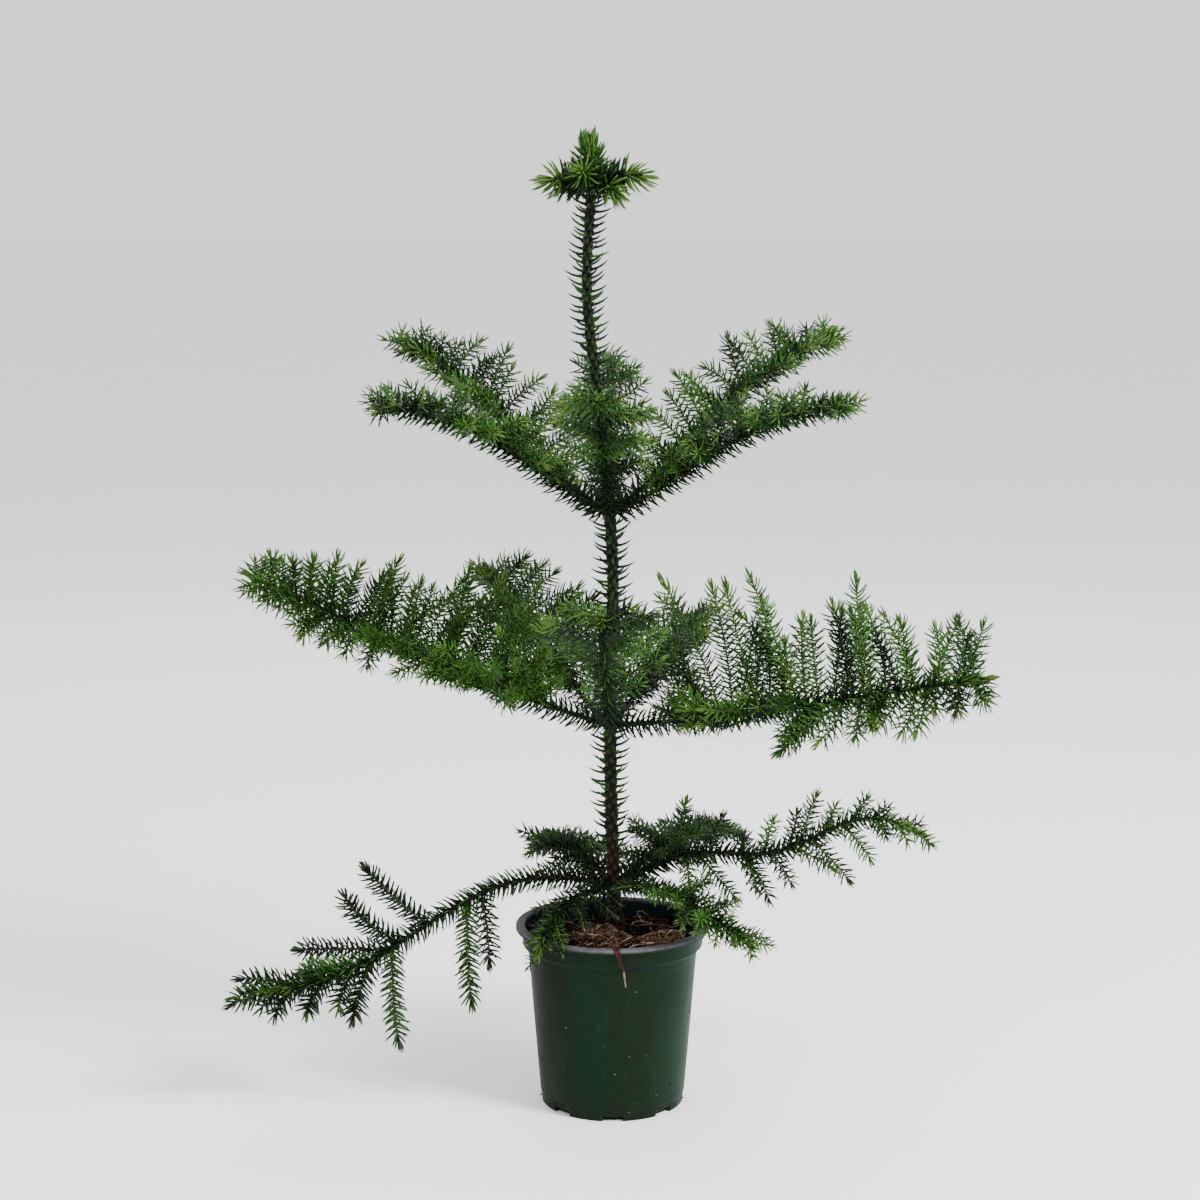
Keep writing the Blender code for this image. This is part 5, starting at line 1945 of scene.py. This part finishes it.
    def top(self) -> tuple[Branch, ...]:
        """New shoots under the leader, with no twigs yet."""
        base = Branch("top", 0.779, reach=0.045, root_slope=10.0, tip_slope=-40.0, twigs=0)
        return (
            base.at("right", reach=0.052, rise=-0.003, root_slope=14.0),
            base.at("back", azimuth=88.0, rise=0.004, tip_slope=-30.0),
            base.at("back_left", azimuth=146.0, reach=0.04, rise=-0.012),
            base.at("left", azimuth=-172.0, rise=-0.007, tip_slope=-50.0),
            base.at("front", azimuth=-104.0, rise=0.006, root_slope=20.0, tip_slope=-20.0),
            base.at("front_right", azimuth=-46.0, reach=0.036, rise=-0.02, root_slope=-8.0,
                    tip_slope=-66.0),
        )

    def build(self, effects: Effects) -> None:
        """Make the plant from the ground up.

        Args:
            effects: the shared shader groups.
        """
        wardrobe = Wardrobe.build(effects)
        Trunk(self.line).build(wardrobe)
        old_coat = replace(Whorl.twig_coat, pitch=0.0008, length=0.013, half_width=0.00088,
                           curl=22.0, angle_scatter=9.0)
        old_stem = replace(Whorl.stem_coat, pitch=0.00058, length=0.0128, sides=3)
        old_rule = TwigRule(overlap=1.3, place_scatter=0.5, lengths=(0.62, 1.14))
        Whorl("lower", self.lower(), self.line, self.pot, rule=old_rule, twig_coat=old_coat,
              stem_coat=old_stem).build(wardrobe)
        Whorl("middle", self.middle(), self.line, self.pot).build(wardrobe)
        upper_coat = replace(Whorl.twig_coat, length=0.0134)
        Whorl("upper", self.upper(), self.line, self.pot, twig_coat=upper_coat).build(wardrobe)
        shoot_coat = Coat(pitch=0.00044, length=0.0182, half_width=0.00092, angle=86.0, curl=26.0,
                          tip_angle=24.0, closing=0.58, tip_length=0.95, widths=(1.0, 1.0, 0.8))
        Whorl("top", self.top(), self.line, self.pot, root_radius=0.0019, bough_radius=0.0017,
              tip_room=0.012, stem_coat=shoot_coat).build(wardrobe)
        Leader(self.line).build(wardrobe)


# Studio

@dataclass(frozen=True)
class Softbox:
    """One soft square light."""

    name: str
    place: Place
    size: float
    power: float


@dataclass(frozen=True)
class Studio:
    """Pale floor, soft lights and the camera at the photograph's angle."""

    camera_place: Place = (-0.0107, -2.1, 0.77)
    camera_pitch: float = 9.1
    lens: float = 76.35
    sensor: float = 36.0
    floor_radius: float = 40.0
    floor_z: float = -0.0002
    floor_sides: int = 96
    floor_tones: Pair = (0.955, 0.975)
    aim: Place = (0.0, 0.0, 0.42)
    world: float = 1.35
    lights: tuple[Softbox, ...] = (
        Softbox("key", (1.9, -1.3, 2.1), 0.8, 160.0),
        Softbox("fill", (-1.9, -2.0, 1.4), 1.8, 30.0),
        Softbox("back", (-0.5, 2.0, 2.4), 1.6, 30.0),
    )

    def build(self) -> None:
        """Set up the floor, the world, the lights and the camera."""
        self.build_floor()
        world = bpy.data.worlds.new("pale_room")
        world.use_nodes = True
        background = world.node_tree.nodes["Background"]
        background.inputs["Color"].default_value = (1.0, 1.0, 1.0, 1.0)
        background.inputs["Strength"].default_value = self.world
        bpy.context.scene.world = world
        for box in self.lights:
            self.build_light(box)
        data = bpy.data.cameras.new("camera")
        data.lens = self.lens
        data.sensor_width = self.sensor
        camera = new_object("camera", data)
        camera.location = self.camera_place
        camera.rotation_euler = (math.radians(90.0 - self.camera_pitch), 0.0, 0.0)
        bpy.context.scene.camera = camera

    def build_floor(self) -> None:
        """A wide round floor, level with the pot's underside."""
        material, graph, shader = new_material("pale_floor", 0.75, 0.2)
        dark, light = ((tone,) * 3 for tone in self.floor_tones)
        graph.link(graph.blend(graph.noise(graph.place(), 3.0), dark, light), shader,
                   "Base Color")
        turn = round_steps(self.floor_sides)
        x, y = self.floor_radius * np.cos(turn), self.floor_radius * np.sin(turn)
        points = np.stack([x, y, self.floor_z + 0.0 * turn], axis=-1)
        mesh = bpy.data.meshes.new("floor")
        mesh.from_pydata(points.tolist(), [], [list(range(self.floor_sides))])
        mesh.materials.append(material)
        new_object("floor", mesh)

    def build_light(self, box: Softbox) -> None:
        """Place one soft light, turned to the plant."""
        data = bpy.data.lights.new(box.name, "AREA")
        data.shape = "SQUARE"
        data.size = box.size
        data.energy = box.power
        light = new_object(box.name, data)
        light.location = box.place
        toward = np.array(self.aim) - np.array(box.place)
        flat = math.hypot(toward[0], toward[1])
        light.rotation_euler = (math.atan2(flat, -toward[2]), 0.0,
                                math.atan2(toward[1], toward[0]) - 0.5 * math.pi)


def main() -> None:
    """Build the pot, the potting mix, the plant and the studio."""
    logging.basicConfig(level=logging.INFO, format="%(name)s: %(message)s")
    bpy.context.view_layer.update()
    effects = Effects.build()
    pot = NurseryPot()
    pot.build(effects)
    PottingMix().build(effects, pot)
    Plant(pot).build(effects)
    Studio().build()


if __name__ == "__main__":
    main()
